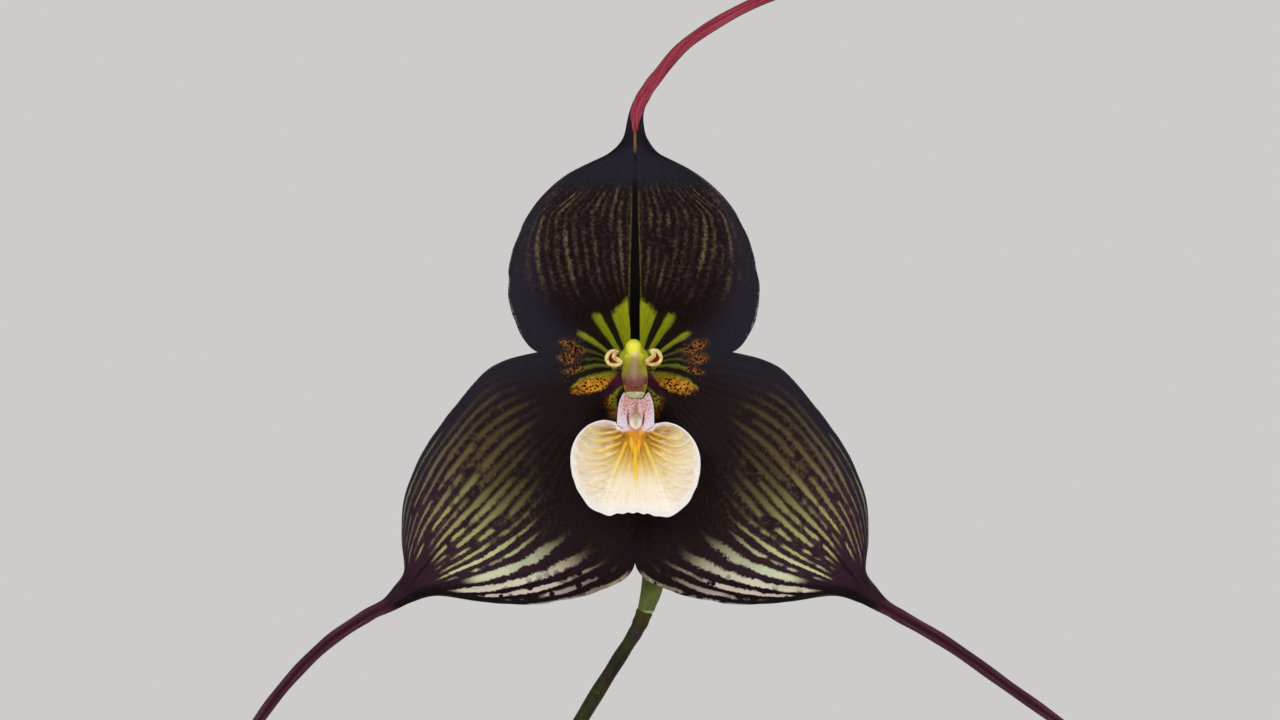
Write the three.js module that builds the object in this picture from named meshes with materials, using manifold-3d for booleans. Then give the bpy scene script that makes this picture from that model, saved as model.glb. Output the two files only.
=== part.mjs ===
// A potted dracula orchid in bloom: a plain clay pot filled with sphagnum moss, a tufted plant
// with strap leaves, and one stalk that carries a single dark flower with three long tails.
// Millimetres, +Z up. The origin is the centre of the pot's flat foot, and the flower faces -Y.
import * as THREE from "three";
import { mergeVertices } from "three/addons/utils/BufferGeometryUtils.js";
import Module from "manifold-3d";

const wasm = await Module();
wasm.setup();

// Clearances and blade thickness
const GAP = 0.3;
const SEPAL_THICK = 0.8;
const LEAF_THICK = 0.8;

// Pot
const POT_HEIGHT = 88;
const POT_FOOT_RADIUS = 38;
const POT_RIM_RADIUS = 54;
const RIM_BAND_HEIGHT = 17;
const RIM_BAND_STEP = 2.6;
const POT_WALL = 5;
const POT_FLOOR = 6;
const DRAIN_HOLES = 4;
const DRAIN_RADIUS = 4.5;
const DRAIN_CIRCLE = 20;

// Moss
const MOSS_LEVEL = 79;
const MOSS_DOME = 4;
const MOSS_LUMP = 1.3;

// Where the flower's centre stands
const FLOWER = new THREE.Vector3(20, -34, 300);

// The flower's cup, as depths behind its face (+Y is away from the viewer)
const CUP_DEPTH = 7.5;
const CUP_RADIUS = 9.5;
const CHIN_DEPTH = 4;
const CHIN_WIDTH = 3.2;
const FACE_SWEEP = 0.0018;
const MARGIN_RECURVE = 1.7;
const CALYX_HOLE = 1.65;
const CALYX_CENTRE_Z = -0.6;

const vec = (x, y, z) => new THREE.Vector3(x, y, z);
const lerp = THREE.MathUtils.lerp;
const rad = THREE.MathUtils.degToRad;
const rise = (from, to, value) => THREE.MathUtils.smoothstep(value, from, to);

// A repeatable stream of numbers from 0 to 1
function numbersFrom(seed) {
  let state = seed;
  return () => {
    state = (state * 16807) % 2147483647;
    return state / 2147483647;
  };
}

// A smooth open curve through points, read at a share of its knots
function smooth(points) {
  const curve = new THREE.CatmullRomCurve3(points, false, "catmullrom", 0.5);
  return (share) => curve.getPoint(THREE.MathUtils.clamp(share, 0, 1));
}

// Skins a row of rings that each run along the front and back along the back, so that both
// faces are split alike, and closes both ends by zipping the front to the back.
function loft(rings) {
  const around = rings[0].length;
  const half = around / 2;
  const position = [];
  const index = [];
  rings.forEach((ring) => ring.forEach((p) => position.push(p.x, p.y, p.z)));
  const at = (ring, i) => ring * around + (i % around);
  for (let r = 0; r + 1 < rings.length; r++) {
    for (let i = 0; i < around; i++) {
      const [a, b, c, d] = [at(r, i), at(r, i + 1), at(r + 1, i + 1), at(r + 1, i)];
      if (i < half) index.push(a, b, c, a, c, d);
      else index.push(a, b, d, b, c, d);
    }
  }
  const last = rings.length - 1;
  for (let i = 0; i + 1 < half; i++) {
    const [f0, f1, b1, b0] = [i, i + 1, around - 2 - i, around - 1 - i];
    index.push(f0, b0, f1, f1, b0, b1);
    index.push(at(last, f0), at(last, f1), at(last, b0), at(last, f1), at(last, b1), at(last, b0));
  }
  const geometry = new THREE.BufferGeometry();
  geometry.setAttribute("position", new THREE.Float32BufferAttribute(position, 3));
  geometry.setIndex(index);
  return geometry;
}

// A closed three.js geometry as a solid that can be joined and cut
function solid(geometry) {
  const bare = geometry.clone();
  bare.deleteAttribute("normal");
  bare.deleteAttribute("uv");
  const merged = mergeVertices(bare, 1e-4);
  const mesh = (triVerts) =>
    new wasm.Mesh({ numProp: 3, vertProperties: merged.attributes.position.array, triVerts });
  const made = new wasm.Manifold(mesh(new Uint32Array(merged.index.array)));
  if (made.volume() > 0) return made;
  const turned = new Uint32Array(merged.index.array);
  for (let i = 0; i < turned.length; i += 3) [turned[i], turned[i + 1]] = [turned[i + 1], turned[i]];
  return new wasm.Manifold(mesh(turned));
}

// The largest body of a solid as a three.js geometry
function geometryOf(made) {
  const largest = made.decompose().reduce((a, b) => (a.volume() >= b.volume() ? a : b));
  const mesh = largest.getMesh();
  const geometry = new THREE.BufferGeometry();
  geometry.setAttribute("position", new THREE.BufferAttribute(new Float32Array(mesh.vertProperties), 3));
  geometry.setIndex(new THREE.BufferAttribute(new Uint32Array(mesh.triVerts), 1));
  geometry.computeVertexNormals();
  return geometry;
}

// Round or oval rings square to a path. radius(share) gives [across, through] half sizes.
function tube(path, radius, sides, steps, upHint = vec(0, 1, 0)) {
  const rings = [];
  const step = 1e-3;
  for (let k = 0; k <= steps; k++) {
    const share = k / steps;
    const centre = path(share);
    const along = path(Math.min(share + step, 1)).sub(path(Math.max(share - step, 0))).normalize();
    const across = vec(0, 0, 0).crossVectors(along, upHint).normalize();
    const through = vec(0, 0, 0).crossVectors(across, along);
    const [wide, deep] = radius(share);
    const ring = [];
    for (let i = 0; i < sides; i++) {
      const angle = (2 * Math.PI * i) / sides;
      ring.push(
        centre
          .clone()
          .addScaledVector(across, wide * Math.cos(angle))
          .addScaledVector(through, deep * Math.sin(angle)),
      );
    }
    rings.push(ring);
  }
  return loft(rings);
}

const plant = new THREE.Group();
const flower = new THREE.Group();
flower.position.copy(FLOWER);
plant.add(flower);

const finish = {
  clay: new THREE.MeshStandardMaterial({ color: 0xb2623c, roughness: 0.9, metalness: 0 }),
  moss: new THREE.MeshStandardMaterial({ color: 0x8f8a4c, roughness: 1, metalness: 0 }),
  root: new THREE.MeshStandardMaterial({ color: 0x8a7f5c, roughness: 0.8, metalness: 0 }),
  leaf: new THREE.MeshStandardMaterial({ color: 0x3f7030, roughness: 0.45, metalness: 0 }),
  stalk: new THREE.MeshStandardMaterial({ color: 0x4f4a26, roughness: 0.6, metalness: 0 }),
  bract: new THREE.MeshStandardMaterial({ color: 0x7d9450, roughness: 0.6, metalness: 0 }),
  sepal: new THREE.MeshStandardMaterial({ color: 0x2a1a22, roughness: 0.6, metalness: 0 }),
  petal: new THREE.MeshStandardMaterial({ color: 0xe9dc9a, roughness: 0.45, metalness: 0 }),
  column: new THREE.MeshStandardMaterial({ color: 0x9c8f52, roughness: 0.45, metalness: 0 }),
  cap: new THREE.MeshStandardMaterial({ color: 0xe6e233, roughness: 0.4, metalness: 0 }),
  claw: new THREE.MeshStandardMaterial({ color: 0xe8c3c8, roughness: 0.5, metalness: 0 }),
  lip: new THREE.MeshStandardMaterial({ color: 0xf3e6c6, roughness: 0.5, metalness: 0 }),
};

function piece(parent, name, geometry, material) {
  const mesh = new THREE.Mesh(geometry, material);
  mesh.name = name;
  parent.add(mesh);
  return mesh;
}

// Pot: one turned clay body with a rim band and four drain holes in its flat floor
const wallRadius = (z) => lerp(POT_FOOT_RADIUS, POT_RIM_RADIUS - RIM_BAND_STEP, z / POT_HEIGHT);
const insideRadius = (z) => wallRadius(z) - POT_WALL;

function potGeometry() {
  const bandBottom = POT_HEIGHT - RIM_BAND_HEIGHT;
  const bandRadius = POT_RIM_RADIUS - 1;
  const profile = [
    [0, 0],
    [POT_FOOT_RADIUS - 1.5, 0],
    [POT_FOOT_RADIUS, 1.5],
    [wallRadius(bandBottom - 1), bandBottom - 1],
    [bandRadius - 0.8, bandBottom],
    [bandRadius, bandBottom + 1],
    [POT_RIM_RADIUS, POT_HEIGHT - 2],
    [POT_RIM_RADIUS - 1.8, POT_HEIGHT],
    [insideRadius(POT_HEIGHT) + 1.2, POT_HEIGHT],
    [insideRadius(POT_HEIGHT - 2), POT_HEIGHT - 2],
    [insideRadius(POT_FLOOR + 3), POT_FLOOR + 3],
    [insideRadius(POT_FLOOR) - 3, POT_FLOOR],
    [0, POT_FLOOR],
  ].map(([r, z]) => new THREE.Vector2(r, z));
  let pot = solid(new THREE.LatheGeometry(profile, 40).rotateX(Math.PI / 2));
  for (let k = 0; k < DRAIN_HOLES; k++) {
    const angle = (2 * Math.PI * (k + 0.5)) / DRAIN_HOLES;
    const hole = new THREE.CylinderGeometry(DRAIN_RADIUS, DRAIN_RADIUS, 4 * POT_FLOOR, 12);
    hole.rotateX(Math.PI / 2).translate(DRAIN_CIRCLE * Math.cos(angle), DRAIN_CIRCLE * Math.sin(angle), 0);
    pot = pot.subtract(solid(hole));
  }
  return geometryOf(pot);
}
piece(plant, "pot", potGeometry(), finish.clay);

// Growths: each is a short stem on the creeping rhizome that carries one leaf
const GROWTHS = 10;
const RHIZOME_REACH = 26;
const RHIZOME_Z = MOSS_LEVEL + MOSS_DOME - 1.5;
const STEM_HEIGHT = 19;
const LEAF_LENGTHS = [150, 138, 168, 132, 172, 126, 166, 136, 158, 144];
const LEAF_WIDTHS = [24, 22, 26, 22, 27, 21, 26, 22, 25, 23];
const LEAF_HEADINGS = [176, -168, 138, -92, 98, -62, 62, -30, 26, -4];
const LEAN_AT_FOOT = [20, 22, 10, 24, 7, 26, 9, 22, 14, 20];
const LEAN_AT_TIP = [96, 104, 86, 112, 70, 118, 82, 108, 92, 100];

function growth(i) {
  const share = i / (GROWTHS - 1);
  const back = i % 2 === 0;
  const heading = rad(LEAF_HEADINGS[i]);
  const lean = rad(LEAN_AT_FOOT[i]);
  const foot = vec(lerp(-RHIZOME_REACH, RHIZOME_REACH, share), back ? 5.5 : 0.5, RHIZOME_Z);
  const up = vec(Math.sin(lean) * Math.cos(heading), Math.sin(lean) * Math.sin(heading), Math.cos(lean));
  return { foot, up, heading, top: foot.clone().addScaledVector(up, STEM_HEIGHT) };
}

// Rhizome, sheathed stems and roots: one grown body. grow thickens it all, to cut its bed.
const STEM_SIDES = 6;
const ROOTS = 6;

function rhizomeSolid(grow) {
  const sway = (share) => vec(lerp(-1, 1, share) * (RHIZOME_REACH + 3), 3 + Math.sin(share * 9), RHIZOME_Z);
  let made = solid(tube(sway, () => [3.1 + grow, 3.1 + grow], 8, 8, vec(0, 0, 1)));
  for (let i = 0; i < GROWTHS; i++) {
    const { foot, up, top } = growth(i);
    const path = (share) => foot.clone().lerp(top, share);
    const sheaths = [2.1, 2.6, 2.1, 2.4, 1.9, 1.7];
    const radius = (share) => {
      const thick = sheaths[Math.round(share * (sheaths.length - 1))] + grow;
      return [thick, thick];
    };
    made = made.add(solid(tube(path, radius, STEM_SIDES, sheaths.length - 1, vec(up.z, 0, -up.x))));
  }
  for (let k = 0; k < ROOTS; k++) {
    const share = (k + 0.5) / ROOTS;
    const from = sway(share);
    const side = k % 2 ? 1 : -1;
    const route = smooth([
      from,
      vec(from.x * 1.25, from.y + side * 7, from.z - 9),
      vec(from.x * 1.3 - 3 * side, from.y + side * 13, from.z - 28),
      vec(from.x * 1.1 + 3 * side, from.y + side * 16, from.z - 50),
      vec(from.x * 1.05, from.y + side * 14, from.z - 66),
    ]);
    const radius = (s) => [lerp(1.3, 0.8, s) + grow, lerp(1.3, 0.8, s) + grow];
    made = made.add(solid(tube(route, radius, 5, 5)));
  }
  return made;
}
piece(plant, "rhizome_and_roots", geometryOf(rhizomeSolid(0)), finish.root);

// Moss: the fill of the pot, with a lumpy domed top and a bed cut for the rhizome and roots
function mossTop(x, y) {
  const share = Math.hypot(x, y) / insideRadius(MOSS_LEVEL);
  const lumps = Math.sin(x * 0.42 + 1) * Math.cos(y * 0.47) + 0.6 * Math.sin(x * 0.9 - y * 0.7);
  return MOSS_LEVEL + MOSS_DOME * (1 - share * share) + MOSS_LUMP * lumps * 0.7;
}

function mossSolid() {
  const sectors = 26;
  const topRings = 6;
  const rings = [];
  const ringAt = (radius, height) => {
    const ring = [];
    for (let i = 0; i < sectors; i++) {
      const angle = (2 * Math.PI * i) / sectors;
      const [x, y] = [radius * Math.cos(angle), radius * Math.sin(angle)];
      ring.push(vec(x, y, height === undefined ? mossTop(x, y) : height));
    }
    rings.push(ring);
  };
  ringAt(0.5, POT_FLOOR + GAP);
  ringAt(insideRadius(POT_FLOOR) - 3 - 2 * GAP, POT_FLOOR + GAP);
  ringAt(insideRadius(POT_FLOOR + 3) - 2 * GAP, POT_FLOOR + 3 + GAP);
  ringAt(insideRadius(MOSS_LEVEL - 4) - 2 * GAP, MOSS_LEVEL - 4);
  for (let k = 0; k < topRings; k++) {
    ringAt((insideRadius(MOSS_LEVEL - 1) - 3 * GAP) * (1 - k / topRings) ** 0.9);
  }
  ringAt(0.5);
  return solid(loft(rings)).subtract(rhizomeSolid(GAP + 0.1));
}
const mossFill = mossSolid();

// Leaves: folded at the petiole, opening to a keeled strap that arches over to a point
function leafGeometry(i) {
  const { up, heading, top } = growth(i);
  const across = vec(-Math.sin(heading), Math.cos(heading), 0);
  const out = vec(Math.cos(heading), Math.sin(heading), 0);
  const steps = 15;
  const rings = [];
  let place = top.clone().addScaledVector(up, GAP);
  for (let k = 0; k <= steps; k++) {
    const share = k / steps;
    const lean = rad(lerp(LEAN_AT_FOOT[i], LEAN_AT_TIP[i], share ** 1.35));
    const along = vec(0, 0, Math.cos(lean)).addScaledVector(out, Math.sin(lean));
    const above = vec(0, 0, 0).crossVectors(along, across);
    const blade = rise(0.12, 0.62, share) * (1 - rise(0.66, 1.04, share) ** 1.6);
    const half = lerp(1.8, LEAF_WIDTHS[i] / 2, blade) * (1 - 0.62 * rise(0.9, 1, share));
    const fold = rad(lerp(58, 17, rise(0.05, 0.5, share)) * (1 - 0.9 * rise(0.8, 1, share)));
    const thick = lerp(1.5, LEAF_THICK, rise(0, 0.3, share));
    const front = [];
    const rear = [];
    for (const s of [-1, -0.5, 0, 0.5, 1]) {
      const spread = half * s * Math.cos(fold);
      const lift = half * Math.abs(s) * Math.sin(fold) * (1 - 0.25 * Math.abs(s));
      const point = place.clone().addScaledVector(across, spread).addScaledVector(above, lift);
      front.push(point);
      rear.push(point.clone().addScaledVector(above, -thick - 0.7 * (1 - Math.abs(s)) * (1 - share)));
    }
    rings.push([...front, ...rear.reverse()]);
    place = place.clone().addScaledVector(along, LEAF_LENGTHS[i] / steps);
  }
  return geometryOf(solid(loft(rings)));
}
for (let i = 0; i < GROWTHS; i++) {
  piece(plant, `leaf_${i + 1}`, leafGeometry(i), finish.leaf);
}

// Stalk: the slender peduncle, with three clasping sheaths, from the rhizome's side to the bract
const STALK_TOP = vec(1.3, 7.8, -29.3);
const STALK_ROUTE = [
  [-31.6, 32.4, -219.2],
  [-32.6, 29.4, -215],
  [-34.6, 27.2, -199],
  [-36.6, 25, -172],
  [-36.6, 22.6, -145],
  [-33.6, 19.6, -118],
  [-27.6, 16, -92],
  [-19.8, 12.5, -70],
  [-12.4, 10, -53],
  [-5.85, 8.6, -41.6],
  [-2.3, 8.1, -36],
  [STALK_TOP.x, STALK_TOP.y, STALK_TOP.z],
];
const stalkPath = smooth(STALK_ROUTE.map(([x, y, z]) => vec(x, y, z)));

function stalkSolid(grow) {
  const nodes = [0.17, 0.44, 0.7];
  const radius = (share) => {
    const since = Math.min(...nodes.map((n) => (share >= n ? share - n : 9)));
    const sheath = since < 0.06 ? 0.75 : 0;
    const thick = lerp(1.15, 0.8, share) + sheath * (1 - since / 0.12) + grow;
    return [thick, thick];
  };
  return solid(tube(stalkPath, radius, 6, 36));
}
const stalk = stalkSolid(0);
piece(flower, "flower_stalk", geometryOf(stalk), finish.stalk);

const stalkBed = stalkSolid(GAP + 0.1).translate([FLOWER.x, FLOWER.y, FLOWER.z]);
piece(plant, "moss_fill", geometryOf(mossFill.subtract(stalkBed)), finish.moss);

// Bract: the green funnel at the stalk's joint, which holds the foot of the flower's own stem
const BRACT_FOOT = vec(1.35, 7.8, -29);
const BRACT_MOUTH = vec(2.2, 8.4, -20.5);
const bractPath = smooth([BRACT_FOOT, vec(1.9, 7.9, -26), BRACT_MOUTH]);
const bractRadius = (share) => [lerp(0.98, 1.3, share), lerp(0.9, 1.15, share)];
piece(flower, "floral_bract", geometryOf(solid(tube(bractPath, bractRadius, 8, 6))), finish.bract);

// Pedicel and ovary: from the bract's mouth up behind the cup, with a boss through the cup's hole
const CALYX_BACK = CUP_DEPTH + SEPAL_THICK + GAP;
function ovaryGeometry() {
  const route = smooth([
    vec(2.25, 8.45, -20.15),
    vec(1.9, 10.2, -15.5),
    vec(1.2, 12, -10.5),
    vec(0.5, 13.4, -5.6),
    vec(0.1, 12.6, -2.2),
    vec(0, 10.6, -0.9),
    vec(0, CALYX_BACK, CALYX_CENTRE_Z),
  ]);
  const radius = (share) => {
    const swell = rise(0.45, 0.72, share);
    const thick = lerp(0.8, 1.7, swell) + 0.5 * rise(0.9, 1, share);
    return [thick, thick];
  };
  const body = solid(tube(route, radius, 10, 12, vec(1, 0, 0)));
  const boss = new THREE.CylinderGeometry(CALYX_HOLE - GAP, CALYX_HOLE - GAP, 5, 10);
  boss.translate(0, CALYX_BACK - 0.5, CALYX_CENTRE_Z);
  const behindCup = new THREE.BoxGeometry(20, 20, 60).translate(0, CALYX_BACK + 10, -10);
  const behindColumn = new THREE.BoxGeometry(20, 20, 60).translate(0, COLUMN_FOOT_Y + GAP + 10, -10);
  return geometryOf(body.intersect(solid(behindCup)).add(solid(boss).intersect(solid(behindColumn))));
}
const COLUMN_FOOT_Y = 6.7;
piece(flower, "pedicel_and_ovary", ovaryGeometry(), finish.bract);

// Sepals: three blades lofted over ribs, each rib a lower or left margin point, a point on the
// middle vein and an upper or right margin point, as [x, z] on the flower's face
const DORSAL_RIBS = [
  [1.65, 0.15, 1.05],
  [6.2, 1.2, 6.2],
  [11.6, 1.7, 11],
  [14, 4.6, 15.4],
  [14.9, 8.9, 19],
  [14.1, 14, 22],
  [11.7, 18.9, 24.4],
  [8, 22.5, 26.3],
  [3.7, 24.6, 27.8],
  [1.5, 26.8, 29],
  [0.85, 29.6, 30],
].map(([x, z, middle]) => [[-x, z], [0, middle], [x, z]]);

const LATERAL_RIBS = [
  [[0.15, -2.25], [1.2, -1.75], [1.65, -0.15]],
  [[0.15, -9], [6.2, -4.7], [6.2, 0.9]],
  [[0.15, -17.5], [10.5, -8.7], [11.6, 1.4]],
  [[0.3, -24.1], [14, -12.4], [17.1, -0.3]],
  [[3.2, -26.4], [17.2, -15.8], [21.6, -5.2]],
  [[7.7, -27.8], [20, -18.8], [25.1, -10.1]],
  [[12.8, -28.5], [22.6, -21.4], [27.4, -15.6]],
  [[18.2, -28.2], [24.8, -23.8], [27.8, -20.6]],
  [[23.4, -27.5], [26.4, -25.7], [27.5, -24.4]],
  [[26.5, -28.2], [27.8, -27.3], [28.8, -26.5]],
  [[28.8, -29.3], [29.4, -28.6], [29.9, -27.9]],
];

// Each tail goes on from the end of its blade's middle vein
const DORSAL_TAIL = [
  [0.1, 2.4, 30],
  [0.95, 2.5, 31.8],
  [2.6, 2.7, 34.2],
  [6.5, 3.2, 38.5],
  [14.2, 4, 43.1],
  [24, 6, 46.6],
  [36, 8.5, 49.2],
  [48, 11, 52.6],
  [58, 13, 58.5],
  [65, 14.5, 67],
];
const RIGHT_TAIL = [
  [29.4, 3.8, -28.6],
  [31.6, 4, -29.9],
  [37.4, 4.7, -33.3],
  [44.6, 5.2, -38.4],
  [51.5, 5.2, -43.4],
  [59, 4.8, -50],
  [66, 4, -58],
  [71.5, 3.4, -67],
  [75, 2.2, -77],
  [76.5, 0.5, -87.5],
];
const LEFT_TAIL = [
  [-29.4, 3.8, -28.6],
  [-32, 4, -29.9],
  [-36.9, 4.5, -33.3],
  [-41.8, 4.7, -38.3],
  [-46, 4.4, -44.2],
  [-49.6, 3.8, -51.8],
  [-52.6, 2.8, -60.5],
  [-56.4, 1.2, -69],
  [-62, -0.6, -76.5],
  [-69.5, -2.2, -81.5],
];
const TAIL_NECK_RADIUS = 0.85;
const TAIL_TIP_RADIUS = 0.42;

function cupDepth(x, z) {
  const out = Math.hypot(x, z);
  const cup = CUP_DEPTH * Math.exp(-((out / CUP_RADIUS) ** 2));
  const chin = CHIN_DEPTH * Math.exp(-((x / CHIN_WIDTH) ** 2)) * rise(2.5, 8, -z) * lerp(1, 0.35, rise(12, 24, -z));
  return cup + chin + FACE_SWEEP * out * out;
}

function sepalSolid(ribs, tail, seamLow, seamHigh, mirror) {
  const [low, middle, high] = [0, 1, 2].map((side) =>
    smooth(ribs.map((rib) => vec(rib[side][0], 0, rib[side][1]))),
  );
  const across = 12;
  const steps = 19;
  const tailSteps = 16;
  const places = Array.from({ length: across + 1 }, (_, i) => (2 * i) / across - 1);
  const rings = [];
  for (let k = 0; k <= steps; k++) {
    const t = k / steps;
    const [a, m, b] = [low(t), middle(t), high(t)];
    const front = [];
    const rear = [];
    const thick = SEPAL_THICK + 0.7 * rise(0.82, 1, t);
    for (const s of places) {
      const free = rise(0, 0.3, t - (s < 0 ? seamLow : seamHigh)) * (1 - rise(0.8, 0.97, t));
      const x = m.x + (s * (b.x - a.x)) / 2 + s * s * ((b.x + a.x) / 2 - m.x);
      const z = m.z + (s * (b.z - a.z)) / 2 + s * s * ((b.z + a.z) / 2 - m.z);
      const y = cupDepth(x, z) + MARGIN_RECURVE * Math.abs(s) ** 4 * free;
      front.push(vec(mirror * x, y, z));
      rear.push(vec(mirror * x, y + thick, z));
    }
    rings.push([...front, ...rear.reverse()]);
  }

  // The blade's rings run on along the tail, where they close to a round
  const route = smooth(tail.map(([x, y, z]) => vec(x, y, z)));
  let wide = rings[steps][across].clone().sub(rings[steps][0]);
  for (let k = 1; k <= tailSteps; k++) {
    const share = k / tailSteps;
    const along = route(share + 1e-3).sub(route(share - 1e-3)).normalize();
    const sideways = vec(0, 1, 0).cross(along).normalize();
    wide = sideways.dot(wide) < 0 ? sideways.negate() : sideways;
    const deep = vec(0, 1, 0).addScaledVector(along, -along.y).normalize();
    const radius = lerp(TAIL_NECK_RADIUS, TAIL_TIP_RADIUS, share);
    const point = (s, facing) =>
      route(share)
        .addScaledVector(wide, radius * Math.sin(0.46 * Math.PI * s))
        .addScaledVector(deep, facing * radius * Math.cos(0.46 * Math.PI * s));
    const front = places.map((s) => point(s, -1));
    const rear = places.map((s) => point(s, 1));
    rings.push([...front, ...rear.reverse()]);
  }
  return solid(loft(rings));
}
piece(flower, "dorsal_sepal", geometryOf(sepalSolid(DORSAL_RIBS, DORSAL_TAIL, 0.2, 0.2, 1)), finish.sepal);
piece(
  flower,
  "lateral_sepal_right",
  geometryOf(sepalSolid(LATERAL_RIBS, RIGHT_TAIL, 0.28, 0.18, 1)),
  finish.sepal,
);
piece(
  flower,
  "lateral_sepal_left",
  geometryOf(sepalSolid(LATERAL_RIBS, LEFT_TAIL, 0.28, 0.18, -1)),
  finish.sepal,
);

// Column: leans up out of the cup, with a foot below that carries the lip
const COLUMN_TOP = vec(0, 2.75, 1.05);
function columnSolid() {
  const stem = smooth([vec(0, COLUMN_FOOT_Y, -1), vec(0, 5, -0.9), vec(0, 3.5, 0.1), COLUMN_TOP]);
  const body = tube(stem, (share) => [lerp(1.75, 0.85, rise(0, 1, share)), lerp(1.5, 0.8, share)], 10, 8, vec(1, 0, 0));
  const foot = smooth([vec(0, 6, -1.4), vec(0, 4.9, -2.5), vec(0, 3.9, -3.3)]);
  const footTube = tube(foot, (share) => [lerp(1.3, 0.6, share), lerp(1.7, 1.2, share)], 8, 4, vec(1, 0, 0));
  return solid(body).add(solid(footTube));
}
piece(flower, "column", geometryOf(columnSolid()), finish.column);

// Anther cap: the small domed lid at the column's tip
const capGeometry = new THREE.SphereGeometry(1, 10, 8).scale(1, 0.9, 1).translate(0, 1.9, 2.1);
piece(flower, "anther_cap", geometryOf(solid(capGeometry)), finish.cap);

// Petals: a short thick strap each side of the column that ends in a cupped, two-lipped tip
function petalSolid(side) {
  const route = smooth([vec(side * 2.5, 6.6, -0.4), vec(side * 2.75, 4.8, 0.2), vec(side * 2.75, 2.9, 0.8)]);
  const radius = (share) => [lerp(0.4, 1.1, rise(0, 1, share)), lerp(0.6, 1.05, rise(0, 1, share))];
  const strap = solid(tube(route, radius, 8, 5, vec(0, 0, 1)));
  const cup = new THREE.SphereGeometry(0.75, 8, 6).scale(1, 0.9, 0.8).translate(side * 2.75, 2.5, 0.8);
  return strap.subtract(solid(cup));
}
piece(flower, "petal_left", geometryOf(petalSolid(-1)), finish.petal);
piece(flower, "petal_right", geometryOf(petalSolid(1)), finish.petal);

// Lip claw: the pink channelled base of the lip, with two raised side lobes and a middle callus
const CLAW_TOP_Z = -3.4;
const LIP_BASE_HALF = 2.2;
const LIP_BASE_Z = -7;
const LIP_BASE_SAG = 0.9;
const LIP_BASE_Y = -0.9;

function clawSolid() {
  const across = 10;
  const steps = 6;
  const rings = [];
  for (let k = 0; k <= steps; k++) {
    const t = k / steps;
    const half = lerp(1.75, LIP_BASE_HALF, t ** 0.7);
    const front = [];
    const rear = [];
    for (let i = 0; i <= across; i++) {
      const s = (2 * i) / across - 1;
      const notch = 0.85 * (1 - s * s) * (1 - t);
      const end = LIP_BASE_Z - LIP_BASE_SAG * Math.cos((s * Math.PI) / 2) + GAP;
      const z = lerp(CLAW_TOP_Z - notch, end, t);
      const walls = 1.3 * s * s * (1 - 0.7 * t);
      const callus = 0.8 * Math.exp(-((s / 0.28) ** 2)) * rise(0.1, 0.55, t) * (1 - 0.6 * rise(0.7, 1, t));
      const y = lerp(2.9, LIP_BASE_Y, t ** 0.9) - walls - callus;
      front.push(vec(half * s, y, z));
      rear.push(vec(half * s, lerp(2.9, LIP_BASE_Y, t ** 0.9) + 0.8 - 0.5 * walls, z));
    }
    rings.push([...front, ...rear.reverse()]);
  }
  return solid(loft(rings));
}
piece(flower, "lip_claw", geometryOf(clawSolid()), finish.claw);

// Lip blade: a hollowed shell with gill-like ridges that fan out from its base to a plain rim.
// The margin runs from the middle of the lower edge round to the shoulder, as [x, depth, z].
const LIP_MARGIN = [
  [0, -4.6, -17.3],
  [1.7, -4.6, -17.5],
  [3.4, -4.7, -17.8],
  [5, -4.9, -17.1],
  [6.2, -5.1, -15.8],
  [7.1, -5.2, -14],
  [7.55, -5, -12.1],
  [7.5, -4.5, -10.2],
  [6.8, -3.8, -8.5],
  [5.5, -3, -7.25],
  [3.8, -2.1, -6.65],
  [2.3, -1.3, -6.85],
];
const LIP_RIDGES = 15;
const LIP_HOLLOW = 2.2;
const LIP_SAG = 1;
const RIDGE_HEIGHT = 0.38;

function lipSolid() {
  const edge = smooth(LIP_MARGIN.map(([x, y, z]) => vec(x, y, z)));
  const across = 60;
  const steps = 8;
  const rings = [];
  for (let i = 0; i <= across; i++) {
    const s = (2 * i) / across - 1;
    const margin = edge(Math.abs(s));
    margin.x *= Math.sign(s);
    const turn = (s * Math.PI) / 2;
    const base = vec(LIP_BASE_HALF * Math.sin(turn), LIP_BASE_Y, LIP_BASE_Z - LIP_BASE_SAG * Math.cos(turn));
    const front = [];
    const rear = [];
    for (let k = 0; k <= steps; k++) {
      const t = k / steps;
      const point = base.clone().lerp(margin, t);
      const belly = 4 * t * (1 - t);
      point.z -= LIP_SAG * belly * Math.abs(Math.sin(turn)) * 0.8;
      point.y += LIP_HOLLOW * belly * (1 - 0.5 * t);
      const ridge = RIDGE_HEIGHT * (0.5 + 0.5 * Math.cos(LIP_RIDGES * Math.PI * s)) * rise(0, 0.15, t) * (1 - rise(0.8, 1, t));
      front.push(vec(point.x, point.y - ridge, point.z));
      rear.push(vec(point.x, point.y + 0.7, point.z));
    }
    rings.push([...front, ...rear.reverse()]);
  }
  return solid(loft(rings));
}
piece(flower, "lip_blade", geometryOf(lipSolid()), finish.lip);

export default plant;
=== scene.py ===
import math
import random

import bpy
import numpy as np
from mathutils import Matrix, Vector, noise


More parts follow.
